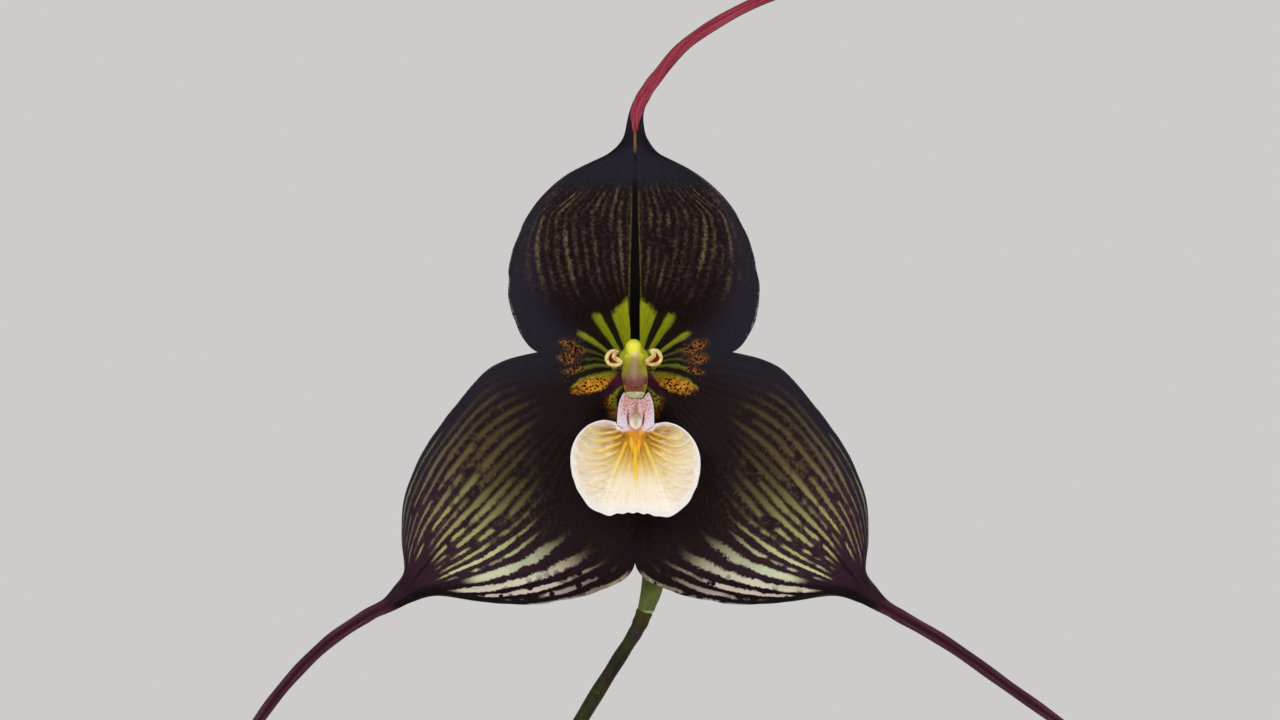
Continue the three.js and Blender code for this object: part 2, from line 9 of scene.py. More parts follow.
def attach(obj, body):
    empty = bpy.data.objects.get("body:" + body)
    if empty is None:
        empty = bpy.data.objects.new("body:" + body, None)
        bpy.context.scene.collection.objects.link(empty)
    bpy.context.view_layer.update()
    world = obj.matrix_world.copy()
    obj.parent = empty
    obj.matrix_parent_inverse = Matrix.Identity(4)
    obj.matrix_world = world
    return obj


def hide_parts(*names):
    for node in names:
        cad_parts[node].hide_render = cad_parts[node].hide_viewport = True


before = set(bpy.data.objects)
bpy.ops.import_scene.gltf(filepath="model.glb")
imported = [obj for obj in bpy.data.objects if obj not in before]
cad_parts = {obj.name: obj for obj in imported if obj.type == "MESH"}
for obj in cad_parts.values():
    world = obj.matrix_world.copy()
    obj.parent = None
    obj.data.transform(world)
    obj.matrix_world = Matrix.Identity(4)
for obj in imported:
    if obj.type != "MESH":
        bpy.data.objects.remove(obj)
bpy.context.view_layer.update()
scene = bpy.context.scene


# Clay pot: one unglazed terracotta body, thrown, then turned to a plain wall with a rim band.
# Four drain holes are cut through its foot. Lime and salts bloom through the wall as pale patches.
POT_HEIGHT = 88
POT_FOOT_RADIUS = 38
POT_RIM_RADIUS = 54
POT_WALL = 5
POT_FLOOR = 6
POT_SIDES = 144
MM = 0.001
DRAIN_RADIUS = 4.5
DRAIN_PLACES = [(14.14, 14.14), (-14.14, 14.14), (-14.14, -14.14), (14.14, -14.14)]


def tint(hexed):
    parts = [int(hexed[i:i + 2], 16) / 255 for i in (0, 2, 4)]
    return tuple(p / 12.92 if p <= 0.04045 else ((p + 0.055) / 1.055) ** 2.4 for p in parts) + (1.0,)


def blend(first, second, share):
    return first + (second - first) * share


def once_round(steps):
    return np.linspace(0, 2 * math.pi, steps, endpoint=False)


def pot_radius(z):
    return blend(POT_FOOT_RADIUS, POT_RIM_RADIUS - 2.6, z / POT_HEIGHT)


def ring_faces(count, around):
    # four-sided faces between neighbouring rings, and both ends closed by zipping half to half
    faces = []
    for row in range(count - 1):
        low = row * around
        high = low + around
        for i in range(around):
            j = (i + 1) % around
            faces.append((low + i, low + j, high + j, high + i))
    last = (count - 1) * around
    for i in range(around // 2 - 1):
        k = around - 1 - i
        faces.append((i, k, k - 1, i + 1))
        faces.append((last + i, last + i + 1, last + k - 1, last + k))
    return faces


def facing_out(points, faces):
    # the faces as they are, or all turned over where they look into the body
    corners = np.array(faces)
    a, b, c, d = (points[corners[:, k]] for k in range(4))
    volume = np.sum(a * np.cross(b, c)) + np.sum(a * np.cross(c, d))
    return faces if volume > 0 else [tuple(reversed(face)) for face in faces]


def make_piece(name, body, finishes, worn=None, marks=None, crease=50):
    # a body is its points in millimetres from the middle of the pot's foot, its faces and its places
    points, faces, places = body
    mesh = bpy.data.meshes.new(name)
    mesh.from_pydata((points * MM).tolist(), [], faces)
    for finish in finishes:
        mesh.materials.append(finish.material)
    if worn is not None:
        mesh.polygons.foreach_set("material_index", np.asarray(worn, dtype=np.int32))
    corners = np.empty(len(mesh.loops), dtype=np.int32)
    mesh.loops.foreach_get("vertex_index", corners)
    mesh.uv_layers.new(name="across_along").data.foreach_set("uv", places[corners].ravel())
    for mark, values in (marks or {}).items():
        layer = mesh.attributes.new(mark, "FLOAT", "POINT")
        layer.data.foreach_set("value", values.astype(np.float32).ravel())
    mesh.polygons.foreach_set("use_smooth", [True] * len(mesh.polygons))
    mesh.set_sharp_from_angle(angle=math.radians(crease))
    piece = bpy.data.objects.new(name, mesh)
    scene.collection.objects.link(piece)
    return piece


def skin(rings, across=None, along=None):
    # rings in rows make one closed body: its points, its faces and the place of each point on it
    count, around = rings.shape[:2]
    points = rings.reshape(-1, 3)
    if across is None:
        across = np.linspace(0, 1, around)
    if along is None:
        along = np.linspace(0, 1, count)[:, None]
    places = np.stack([np.broadcast_to(share, (count, around)) for share in (across, along)], axis=2)
    return points, facing_out(points, ring_faces(count, around)), places.reshape(-1, 2)


class Shade:
    """A number or colour that varies over a piece: one socket in the node tree of its finish."""

    def __init__(self, finish, socket):
        self.finish = finish
        self.socket = socket

    def maths(self, operation, other=0.0):
        return self.finish.step("Math", {0: self, 1: other}, operation=operation)

    def __add__(self, other):
        return self.maths("ADD", other)

    def __sub__(self, other):
        return self.maths("SUBTRACT", other)

    def __mul__(self, other):
        return self.maths("MULTIPLY", other)

    def __truediv__(self, other):
        return self.maths("DIVIDE", other)

    def __abs__(self):
        return self.maths("ABSOLUTE")

    def most(self, other):
        return self.maths("MAXIMUM", other)

    def hypot(self, other):
        return (self * self + other * other).maths("SQRT")

    def swell(self, low, high):
        # 0 below low, 1 above high, and smooth between
        ends = {"Value": self, "From Min": low, "From Max": high}
        return self.finish.step("MapRange", ends, interpolation_type="SMOOTHSTEP")

    def fade(self, low, high):
        return self.finish.step("Math", {0: 1.0, 1: self.swell(low, high)}, operation="SUBTRACT")

    def near(self, centre, half, soft):
        return abs(self - centre).fade(half - soft, half + soft)

    def stretched(self, by):
        return self.finish.step("VectorMath", {0: self, 1: by}, operation="MULTIPLY")

    def parts(self):
        apart = self.finish.step("SeparateXYZ", {"Vector": self}).socket.node
        return [Shade(self.finish, socket) for socket in apart.outputs]

    def cloud(self, scale, detail=3.0, rough=0.55, warp=0.0):
        grain = {"Vector": self, "Scale": scale, "Detail": detail, "Roughness": rough, "Distortion": warp}
        return self.finish.step("TexNoise", grain)

    def cells(self, scale):
        return self.finish.step("TexVoronoi", {"Vector": self, "Scale": scale})

    def ramp(self, stops, span=1.0, peak=1.0):
        # colours or numbers by place, where places go up to span and numbers up to peak
        place_on_ramp = self if span == 1 else self / span
        shade = self.finish.step("ValToRGB", {0: place_on_ramp})
        marks = shade.socket.node.color_ramp.elements
        while len(marks) < len(stops):
            marks.new(1.0)
        for mark, (place, value) in zip(marks, stops):
            mark.position = place / span
            mark.color = tint(value) if isinstance(value, str) else (value / peak,) * 3 + (1.0,)
        return shade if peak == 1 else shade * peak

    def wash(self, share, colour):
        # lays a second colour over this one, as thickly as share says
        self.socket = mix(share, self, colour).socket


def mix(share, first, second):
    # sockets 6 and 7 and output 2 of this node are the ones for colours
    return share.finish.step("Mix", {0: share, 6: first, 7: second}, output=2, data_type="RGBA")


class Finish:
    """One material, mixed up from noise, bands and ramps."""

    def __init__(self, name, **sockets):
        self.material = bpy.data.materials.new(name)
        self.material.use_nodes = True
        self.tree = self.material.node_tree
        self.shader = self.tree.nodes["Principled BSDF"]
        for socket, value in sockets.items():
            self.shader.inputs[socket.replace("_", " ")].default_value = value

    def step(self, kind, inputs, output=0, **settings):
        node = self.tree.nodes.new("ShaderNode" + kind)
        for key, value in settings.items():
            setattr(node, key, value)
        for socket, value in inputs.items():
            if isinstance(value, Shade):
                self.tree.links.new(value.socket, node.inputs[socket])
            else:
                node.inputs[socket].default_value = tint(value) if isinstance(value, str) else value
        return Shade(self, node.outputs[output])

    def where(self):
        return self.step("TexCoord", {}, output="Object")

    def millimetres_from(self, centre):
        off = self.step("VectorMath", {0: self.where(), 1: tuple(centre * MM)}, operation="SUBTRACT")
        scaled = off.stretched((1 / MM,) * 3)
        return scaled, *scaled.parts()

    def across_along(self):
        return self.step("UVMap", {}, uv_map="across_along").parts()[:2]

    def mark(self, name):
        return self.step("Attribute", {}, output="Fac", attribute_name=name)

    def colour(self, shade):
        self.tree.links.new(shade.socket, self.shader.inputs["Base Color"])

    def roughness(self, shade):
        self.tree.links.new(shade.socket, self.shader.inputs["Roughness"])

    def relief(self, height, millimetres, strength):
        bump = self.step("Bump", {"Strength": strength, "Distance": millimetres * MM, "Height": height})
        self.tree.links.new(bump.socket, self.shader.inputs["Normal"])


def rounded(profile):
    # cuts the corners of an open outline twice, and keeps its ends
    outline = np.array(profile, float)
    for _ in range(2):
        cut = np.stack([blend(outline[:-1], outline[1:], share) for share in (0.25, 0.75)], axis=1)
        outline = np.vstack([outline[:1], cut.reshape(-1, 2), outline[-1:]])
    return outline


def level_ring(radius, sides, z):
    turn = once_round(sides)
    return np.column_stack([radius * np.cos(turn), radius * np.sin(turn), np.full(sides, z)])


clay = Finish("fired_clay", Roughness=0.9, Specular_IOR_Level=0.25)
spot = clay.where()
drift = spot.cloud(22, 5, 0.6)
grain = spot.cloud(900, 3, 0.7)
body_colour = drift.ramp([(0.3, "9c5334"), (0.5, "b0623f"), (0.7, "bd7350")])
body_colour.wash(grain.swell(0.56, 0.72) * 0.35, "7d3f28")
height = spot.parts()[2]
up_the_wall = height * 11.0
bloom = spot.cloud(38, 6, 0.65, 0.6).swell(0.5, 0.66) * up_the_wall.ramp([
    (0.0, 0.75), (0.3, 0.3), (0.6, 0.55), (0.78, 0.12), (1.0, 0.3),
])
body_colour.wash(bloom * 0.75, "d9c3ad")
damp = spot.cloud(30, 4).swell(0.45, 0.7) * height.fade(0.002, 0.03)
body_colour.wash(damp * 0.5, "6f5a3c")
clay.colour(body_colour)
clay.roughness(drift.ramp([(0.3, 0.82), (0.7, 0.95)]))
wheel_marks = clay.step(
    "TexWave", {"Vector": spot, "Scale": 105.0, "Distortion": 2.0, "Detail": 2.0, "Detail Scale": 1.5},
    output=1, bands_direction="Z",
)
clay.relief(grain * 0.7 + wheel_marks * 0.35, 0.12, 0.6)

pot_profile = rounded([
    (0.01, 0), (20, 0), (30, 0), (36.4, 0), (38.1, 1.8), (pot_radius(12), 12), (pot_radius(40), 40),
    (pot_radius(62), 62), (pot_radius(69.5), 69.5), (pot_radius(70.5) + 0.1, 70.4), (52.6, 71.2),
    (53.05, 74), (53.5, 80), (53.95, 85.6), (53.2, 87.8), (50.4, 88), (47.6, 87.8), (46.3, 86.4),
    (45.9, 80), (pot_radius(60) - POT_WALL, 60), (pot_radius(30) - POT_WALL, 30),
    (pot_radius(10) - POT_WALL, 10), (31, POT_FLOOR + 0.3), (20, POT_FLOOR), (0.01, POT_FLOOR),
])
pot_rings = []
for radius, z in pot_profile:
    # faint rings from throwing, on the wall only
    on_wall = 4 < z < 86 and radius > 36
    thrown = 0.07 * math.sin(z * 1.9) + 0.05 * math.sin(z * 4.3 + 1) if on_wall else 0
    pot_rings.append(level_ring(radius + thrown, POT_SIDES, z))
clay_pot = make_piece("clay_pot", skin(np.array(pot_rings)), [clay], crease=40)
for x, y in DRAIN_PLACES:
    # each hole is cut with a drill, which is then taken away
    place = (x * MM, y * MM, 0)
    bpy.ops.mesh.primitive_cylinder_add(
        vertices=40, radius=DRAIN_RADIUS * MM, depth=0.03, location=place, calc_uvs=False
    )
    drill = bpy.context.object
    cut = clay_pot.modifiers.new("drain_hole", "BOOLEAN")
    cut.object = drill
    cut.operation = "DIFFERENCE"
    cut.solver = "EXACT"
    bpy.context.view_layer.objects.active = clay_pot
    bpy.ops.object.modifier_apply(modifier=cut.name)
    bpy.data.objects.remove(drill)
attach(clay_pot, "root")
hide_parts("pot")


# Moss: long-fibred sphagnum, pressed into the pot by hand round the roots. Its top is a loose
# springy mound of pale strands, with living green star heads between them.
MOSS_LEVEL = 79
MOSS_DOME = 4
MOSS_STRANDS = 2300
MOSS_HEADS = 150
HEAD_RAYS = 11
MOUND_SIDES = 96
dice = random.Random(7)


def moss_top(x, y):
    share = np.hypot(x, y) / (pot_radius(MOSS_LEVEL) - POT_WALL)
    lumps = np.sin(0.42 * x + 1) * np.cos(0.47 * y) + 0.6 * np.sin(0.9 * x - 0.7 * y)
    return MOSS_LEVEL + MOSS_DOME * (1 - share**2) + 0.91 * lumps


def unit(vectors):
    return vectors / np.linalg.norm(vectors, axis=1, keepdims=True)


def tube(path, radius, sides=12, hint=(0, 1, 0), section=None):
    # rings square to a path; the first point of each lies to its side, square to the hint
    along = unit(np.gradient(path, axis=0))
    across = unit(np.cross(along, hint))
    through = np.cross(across, along)
    angle = once_round(sides)
    shape = np.ones((len(path), sides)) if section is None else section(angle)
    shape = shape * np.broadcast_to(radius, (len(path),))[:, None]
    out = (np.cos(angle) * shape)[..., None]
    up = (np.sin(angle) * shape)[..., None]
    return path[:, None] + across[:, None] * out + through[:, None] * up


def gathered(bodies):
    # several closed bodies as the points, faces and places of one grown piece
    points, faces, places = [], [], []
    start = 0
    for body_points, body_faces, body_places in bodies:
        points.append(body_points)
        places.append(body_places)
        faces += [tuple(corner + start for corner in face) for face in body_faces]
        start += len(body_points)
    return np.vstack(points), faces, np.vstack(places)


moss = Finish("sphagnum", Roughness=0.95, Specular_IOR_Level=0.15)
kind, along = moss.across_along()
fibre = kind.ramp([
    (0.0, "6d5a35"), (0.2, "9a8750"), (0.4, "b9ab73"), (0.6, "a9a763"), (0.78, "7f8f45"), (1.0, "5f7a35"),
])
fibre.wash(along.fade(0.0, 0.55) * 0.55, "4a3a20")
fibre.wash(moss.where().cloud(60, 3).swell(0.5, 0.7) * 0.35, "55602a")
moss.colour(fibre)
leaflets = moss.where().cells(1500)
moss.roughness(leaflets.ramp([(0.0, 0.8), (0.6, 1.0)]))
moss.relief(leaflets, 0.25, 0.7)

mound_foot = [
    (0.5, POT_FLOOR + 0.3), (pot_radius(POT_FLOOR) - 8.8, POT_FLOOR + 0.3), (pot_radius(9) - 5.8, 9.5),
    (pot_radius(75) - 5.7, 75),
]
mound = [level_ring(radius, MOUND_SIDES, z) for radius, z in mound_foot]
for radius in np.linspace(pot_radius(78) - 6, 0.3, 44):
    ring = level_ring(radius, MOUND_SIDES, 0.0)
    bumps = [1.3 * noise.noise(Vector((0.35 * x, 0.35 * y, 3))) for x, y, z in ring]
    ring[:, 2] = moss_top(ring[:, 0], ring[:, 1]) - 0.8 + bumps
    mound.append(ring)
bodies = [skin(np.array(mound), across=0.25, along=0.35)]


def moss_strand(start, heading, climb, length, thick, kind, rows=6):
    # a limp stem that leaves the mound, wanders, and lies down again
    path = [np.array(start, float)]
    for _ in range(rows - 1):
        level = math.cos(climb)
        step = np.array([math.cos(heading) * level, math.sin(heading) * level, math.sin(climb)])
        path.append(path[-1] + step * length / (rows - 1))
        heading += dice.uniform(-0.5, 0.5)
        climb -= dice.uniform(0.15, 0.6)
    shares = np.linspace(0, 1, rows)
    width = thick * (1 - 0.75 * shares) * (1 + 0.25 * np.sin(9 * shares + heading))
    rings = tube(np.array(path), width, sides=4, hint=(0.31, 0.2, 0.93))
    return skin(rings, across=kind, along=shares[:, None])


room = pot_radius(MOSS_LEVEL) - POT_WALL - 1.5
for _ in range(MOSS_STRANDS):
    radius = room * math.sqrt(dice.random())
    angle = dice.uniform(0, 2 * math.pi)
    x = radius * math.cos(angle)
    y = radius * math.sin(angle)
    inward = angle + math.pi
    heading = inward + dice.uniform(-1.2, 1.2) if radius > room - 6 else dice.uniform(0, 2 * math.pi)
    bodies.append(moss_strand(
        (x, y, float(moss_top(x, y)) - 1.2), heading, dice.uniform(0.3, 1.3), dice.uniform(5, 9.5),
        dice.uniform(0.3, 0.62), dice.uniform(0.05, 0.72),
    ))
for _ in range(MOSS_HEADS):
    radius = (room - 3) * math.sqrt(dice.random())
    angle = dice.uniform(0, 2 * math.pi)
    x = radius * math.cos(angle)
    y = radius * math.sin(angle)
    centre = (x, y, float(moss_top(x, y)) + dice.uniform(-0.3, 0.5))
    hue = dice.uniform(0.62, 1.0)
    first = dice.uniform(0, 6)
    for k in range(HEAD_RAYS):
        length = dice.uniform(2.0, 3.6)
        bodies.append(moss_strand(centre, first + k * 2.4, 1.35 - 0.1 * k, length, 0.42, hue, rows=4))
sphagnum_moss = make_piece("sphagnum_moss", gathered(bodies), [moss], crease=70)
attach(sphagnum_moss, "root")
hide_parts("moss_fill")


# Rhizome, leaf stems and roots: one creeping body that lies in the top of the moss. Each short
# stem is wrapped in dry papery sheaths, and pale roots run from the rhizome down through the moss.
GROWTHS = 10
RHIZOME_REACH = 26
RHIZOME_Z = MOSS_LEVEL + MOSS_DOME - 1.5
STEM_HEIGHT = 19
LEAF_HEADINGS = np.radians([176, -168, 138, -92, 98, -62, 62, -30, 26, -4])
LEAN_AT_FOOT = np.radians([20, 22, 10, 24, 7, 26, 9, 22, 14, 20])
SHEATH_ENDS = [0.0, 0.36, 0.7, 1.0]
RHIZOME_KNOBS = 13
DEEP_ROOTS = 6
CREEPING_ROOTS = 7


def rise(low, high, value):
    share = np.clip((np.asarray(value, float) - low) / (high - low), 0, 1)
    return share * share * (3 - 2 * share)


def smooth(points, shares):
    # a smooth open curve through points, read at shares of its knots
    knots = np.asarray(points, float)
    knots = np.vstack([2 * knots[0] - knots[1], knots, 2 * knots[-1] - knots[-2]])
    place = np.clip(np.atleast_1d(shares), 0, 1) * (len(points) - 1)
    first = np.minimum(place.astype(int), len(points) - 2)
    w = (place - first)[:, None]
    a, b, c, d = (knots[first + k] for k in range(4))
    start = 0.5 * (c - a)
    end = 0.5 * (d - b)
    return b + start * w + (3 * (c - b) - 2 * start - end) * w**2 + (2 * (b - c) + start + end) * w**3


def point(x, y, z=0.0):
    return x.finish.step("CombineXYZ", {0: x, 1: y, 2: z})


def growth(i):
    heading = LEAF_HEADINGS[i]
    lean = LEAN_AT_FOOT[i]
    x = blend(-RHIZOME_REACH, RHIZOME_REACH, i / (GROWTHS - 1))
    foot = np.array([x, 0.5 if i % 2 else 5.5, RHIZOME_Z])
    out = np.array([math.cos(heading), math.sin(heading), 0])
    up = math.sin(lean) * out + [0, 0, math.cos(lean)]
    return foot, up, foot + STEM_HEIGHT * up


def rhizome_line(share):
    share = np.atleast_1d(share)
    x = blend(-1, 1, share) * (RHIZOME_REACH + 3)
    return np.stack([x, 3 + np.sin(9 * share), 0 * share + RHIZOME_Z], axis=1)


sheathed = Finish("papery_sheath", Roughness=0.7, Specular_IOR_Level=0.3)
kind, along = sheathed.across_along()
spot = sheathed.where()
threads = point(kind * 60.0, along * 3.0).cloud(1.0, 3, 0.6)
paper = threads.ramp([(0.3, "6b5a3c"), (0.5, "96855a"), (0.72, "c3b58c")])
paper.wash(spot.cloud(160, 4).swell(0.5, 0.68) * 0.6, "5c4a34")
green = spot.cloud(45, 2).swell(0.48, 0.62)
paper.wash(green * 0.55, "7c8a4a")
sheathed.colour(paper)
sheathed.relief(threads, 0.2, 0.7)

rooty = Finish("pale_root", Roughness=0.75, Specular_IOR_Level=0.25)
spot = rooty.where()
velvet = spot.cloud(220, 4)
rind = velvet.ramp([(0.3, "8f8468"), (0.5, "b8ae90"), (0.7, "cfc8b0")])
rind.wash(spot.cloud(55, 2).swell(0.52, 0.66), "7a6a48")
rooty.colour(rind)
rooty.relief(velvet, 0.15, 0.6)

bodies, worn = [], []


def add_body(body, finish_number):
    bodies.append(body)
    worn.extend([finish_number] * len(body[1]))


shares = np.linspace(0, 1, 60)
knobs = 3.0 + 0.35 * np.cos(shares * 2 * math.pi * RHIZOME_KNOBS)
knobs[:3] *= [0.35, 0.75, 0.95]
knobs[-3:] *= [0.95, 0.75, 0.35]
add_body(skin(tube(rhizome_line(shares), knobs, sides=18, hint=(0, 0, 1))), 0)
for i in range(GROWTHS):
    foot, up, top = growth(i)
    shares = np.linspace(0, 1, 12)
    core = foot + np.outer(shares, top - foot)
    add_body(skin(tube(core, blend(1.9, 1.55, shares), sides=12, hint=(up[2], 0, -up[0]))), 0)
    for low, high in zip(SHEATH_ENDS, SHEATH_ENDS[1:]):
        # each sheath hugs the stem, flares at its mouth, and turns in again along its inner face
        steps = np.array([0, 0.15, 0.5, 0.85, 0.99, 1, 0.8, 0.3])
        flare = np.array([0.02, 0.28, 0.3, 0.42, 0.68, 0.55, 0.2, 0.02])
        ends = low + (high - low) * steps
        shell = foot + np.outer(ends, top - foot)
        wall = tube(shell, blend(2.0, 1.5, ends) + flare, sides=20, hint=(up[2], 0, -up[0]))
        if high < 1:
            tilt = 0.9 * np.cos(once_round(20) + 19 * low + i) * rise(0.6, 1, steps)[:, None]
            wall += up * tilt[..., None]
        add_body(skin(wall), 0)
for k in range(DEEP_ROOTS):
    x, y, z = rhizome_line((k + 0.5) / DEEP_ROOTS)[0]
    side = 1 if k % 2 else -1
    route = [
        (x, y, z), (1.25 * x, y + 7 * side, z - 9), (1.3 * x - 3 * side, y + 13 * side, z - 28),
        (1.1 * x + 3 * side, y + 16 * side, z - 50), (1.05 * x, y + 14 * side, z - 66),
    ]
    shares = np.linspace(0, 1, 40)
    add_body(skin(tube(smooth(route, shares), blend(1.3, 0.8, shares), sides=10)), 1)
for k in range(CREEPING_ROOTS):
    # roots that creep over the moss before they dive
    start = rhizome_line((k + 0.6) / CREEPING_ROOTS)[0]
    heading = (-1.0 if k % 2 else 1.9) + 0.5 * math.sin(3.1 * k)
    route = []
    for step, over in enumerate([0.2, 1.0, 1.5, 1.2, 1.3, 0.3, -3.5]):
        x = start[0] + 4.2 * step * math.cos(heading) + 1.5 * math.sin(1.7 * step + k)
        y = start[1] + 4.2 * step * math.sin(heading) + 1.5 * math.cos(1.3 * step + k)
        stray = min(1.0, 41 / max(1.0, math.hypot(x, y)))
        x *= stray
        y *= stray
        route.append((x, y, float(moss_top(x, y)) + over))
    shares = np.linspace(0, 1, 48)
    size = blend(1.15, 0.75, shares) * (1 + 0.06 * np.sin(23 * shares + k))
    add_body(skin(tube(smooth(route, shares), size, sides=12, hint=(0.1, 0.1, 1))), 1)
rhizome = make_piece("rhizome_stems_and_roots", gathered(bodies), [sheathed, rooty], worn)
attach(rhizome, "root")
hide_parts("rhizome_and_roots")


# Leaves: ten leathery straps, one on each stem. Each is folded along its narrow foot, opens to
# a keeled blade with a sunken midrib, and ends in a small blunt point.
LEAF_LENGTHS = [150, 138, 168, 132, 172, 126, 166, 136, 158, 144]
LEAF_WIDTHS = [24, 22, 26, 22, 27, 21, 26, 22, 25, 23]
LEAN_AT_TIP = np.radians([96, 104, 86, 112, 70, 118, 82, 108, 92, 100])
LEAF_ROWS = 90
LEAF_COLUMNS = 24
LEAF_STATIONS = 15
LEAF_VEINING = 62.0

leafy = Finish("leaf_face", Roughness=0.38, Specular_IOR_Level=0.45)
across, along = leafy.across_along()
spot = leafy.where()
side = across * 2.0 - 1.0
veins = ((side + spot.cloud(30, 2) * 0.03) * LEAF_VEINING).maths("COSINE")
drift = spot.cloud(16, 4, 0.6)
green = drift.ramp([(0.3, "27491b"), (0.5, "345c22"), (0.68, "466f2b")])
green.wash(veins.swell(0.2, 1.0) * 0.16, "6d8f45")
green.wash(side.near(0.0, 0.035, 0.03) * 0.55, "7d9a4e")
green.wash(along.fade(0.02, 0.2) * 0.6, "8a9152")
freckles = spot.cells(480).fade(0.1, 0.2) * spot.cloud(40).swell(0.55, 0.65)
green.wash(freckles * 0.4, "7a7a3a")
green.wash(abs(side).swell(0.94, 1.0) * 0.35, "7f9150")
tip_burn = (along + drift * 0.06).swell(1.005, 1.03)
green.wash(tip_burn, "7b5b32")
leafy.colour(green)
leafy.roughness(spot.cloud(120, 3).ramp([(0.3, 0.32), (0.7, 0.48)]))
leafy.relief(veins * 0.35 + spot.cloud(700, 2) * 0.6, 0.1, 0.6)

leaf_under = Finish("leaf_underside", Roughness=0.55, Specular_IOR_Level=0.35)
across, along = leaf_under.across_along()
spot = leaf_under.where()
side = across * 2.0 - 1.0
veins = (side * LEAF_VEINING).maths("COSINE")
paler = spot.cloud(24, 4).ramp([(0.3, "4d6d34"), (0.7, "6b8748")])
paler.wash(veins.swell(0.0, 1.0) * 0.22, "8ba263")
paler.wash(side.near(0.0, 0.05, 0.04) * 0.7, "a5b077")
flushed = along.fade(0.0, 0.3) * spot.cloud(90).swell(0.45, 0.6)
paler.wash(flushed * 0.6, "6a4a44")
leaf_under.colour(paler)
leaf_under.relief(veins * 0.4 + spot.cloud(600, 2), 0.1, 0.6)


def sink(low, high, value):
    return 1 - rise(low, high, value)


def hump(value, half):
    return np.exp(-((value / half) ** 2))


def there_and_back(values):
    return np.concatenate([values, values[::-1]])


def front_and_back(front, back):
    # closes each row of a face and the same row of its back into one ring
    return np.concatenate([front, back[:, ::-1]], axis=1)


def leaf_rings(i):
    _, up, top = growth(i)
    heading = LEAF_HEADINGS[i]
    across = np.array([-math.sin(heading), math.cos(heading), 0])
    out = np.array([math.cos(heading), math.sin(heading), 0])
    # stations down the middle of the leaf, one step of its length apart
    stations = [top + 0.3 * up]
    for k in range(LEAF_STATIONS):
        lean = blend(LEAN_AT_FOOT[i], LEAN_AT_TIP[i], (k / LEAF_STATIONS) ** 1.35)
        step = np.array([0, 0, math.cos(lean)]) + out * math.sin(lean)
        stations.append(stations[-1] + step * LEAF_LENGTHS[i] / LEAF_STATIONS)
    shares = np.linspace(0, 1, LEAF_ROWS)
    middle = smooth(stations, shares)
    lean = blend(LEAN_AT_FOOT[i], LEAN_AT_TIP[i], shares**1.35)
    along = np.outer(np.cos(lean), [0, 0, 1]) + np.outer(np.sin(lean), out)
    above = np.cross(along, across)
    blade = rise(0.12, 0.62, shares) * (1 - rise(0.66, 1.04, shares) ** 1.6)
    half = blend(1.8, LEAF_WIDTHS[i] / 2, blade) * (1 + 0.02 * np.sin(shares * 23 + i))
    half *= 1 - 0.62 * rise(0.9, 1, shares) - 0.3 * rise(0.975, 1, shares)
    fold = np.radians(blend(58, 17, rise(0.05, 0.5, shares)) * (1 - 0.9 * rise(0.8, 1, shares)))
    thick = blend(1.45, 0.75, rise(0, 0.3, shares))
    s = np.linspace(-1, 1, LEAF_COLUMNS + 1)
    spread = np.outer(half * np.cos(fold), s)
    lift = np.outer(half * np.sin(fold), np.abs(s) * (1 - 0.25 * np.abs(s)))
    lift -= np.outer(0.35 * rise(0.1, 0.3, shares) * sink(0.9, 1, shares), hump(s, 0.07))
    lift += np.outer(0.25 * np.sin(shares * 31 + 2 * i) * rise(0.25, 0.5, shares), np.abs(s) ** 3)
    face = middle[:, None] + across * spread[..., None] + above[:, None] * lift[..., None]
    edge = 0.25 + 0.75 * (1 - np.abs(s) ** 6)
    depth = thick[:, None] * edge + 0.7 * (1 - np.abs(s)) * (1 - shares)[:, None]
    depth += 0.5 * hump(s, 0.1) * sink(0.85, 1, shares)[:, None]
    under = face - above[:, None] * depth[..., None]
    return front_and_back(face, under)


def two_faced(rings, body):
    # the front half of each ring wears the first finish, and the back half the second
    rows, around = rings.shape[:2]
    lane = np.arange(around)
    back = (lane >= around // 2) & (lane < around - 1)
    worn = np.zeros(len(body[1]), dtype=np.int32)
    worn[:(rows - 1) * around] = np.tile(back, rows - 1)
    return worn


for i in range(GROWTHS):
    rings = leaf_rings(i)
    body = skin(rings, across=there_and_back(np.linspace(0, 1, LEAF_COLUMNS + 1)))
    leaf = make_piece(f"leaf_blade_{i + 1}", body, [leafy, leaf_under], two_faced(rings, body))
    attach(leaf, "root")
    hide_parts(f"leaf_{i + 1}")


# Flower stalk: a slender wiry peduncle that arches up from the rhizome's side to the flower.
# Three short dry sheaths clasp it. Its olive green is clouded with brown and dull purple.
FLOWER = np.array([20.0, -34.0, 300.0])
STALK_ROUTE = [
    (-31.6, 32.4, -219.2), (-32.6, 29.4, -215), (-34.6, 27.2, -199), (-36.6, 25, -172),
    (-36.6, 22.6, -145), (-33.6, 19.6, -118), (-27.6, 16, -92), (-19.8, 12.5, -70), (-12.4, 10, -53),
    (-5.85, 8.6, -41.6), (-2.4, 8.1, -36), (-0.25, 7.95, -32.6), (0.6, 7.85, -31), (1.15, 7.8, -29.6),
]
STALK_NODES = [0.144, 0.372, 0.592]
STALK_GROOVES = 9

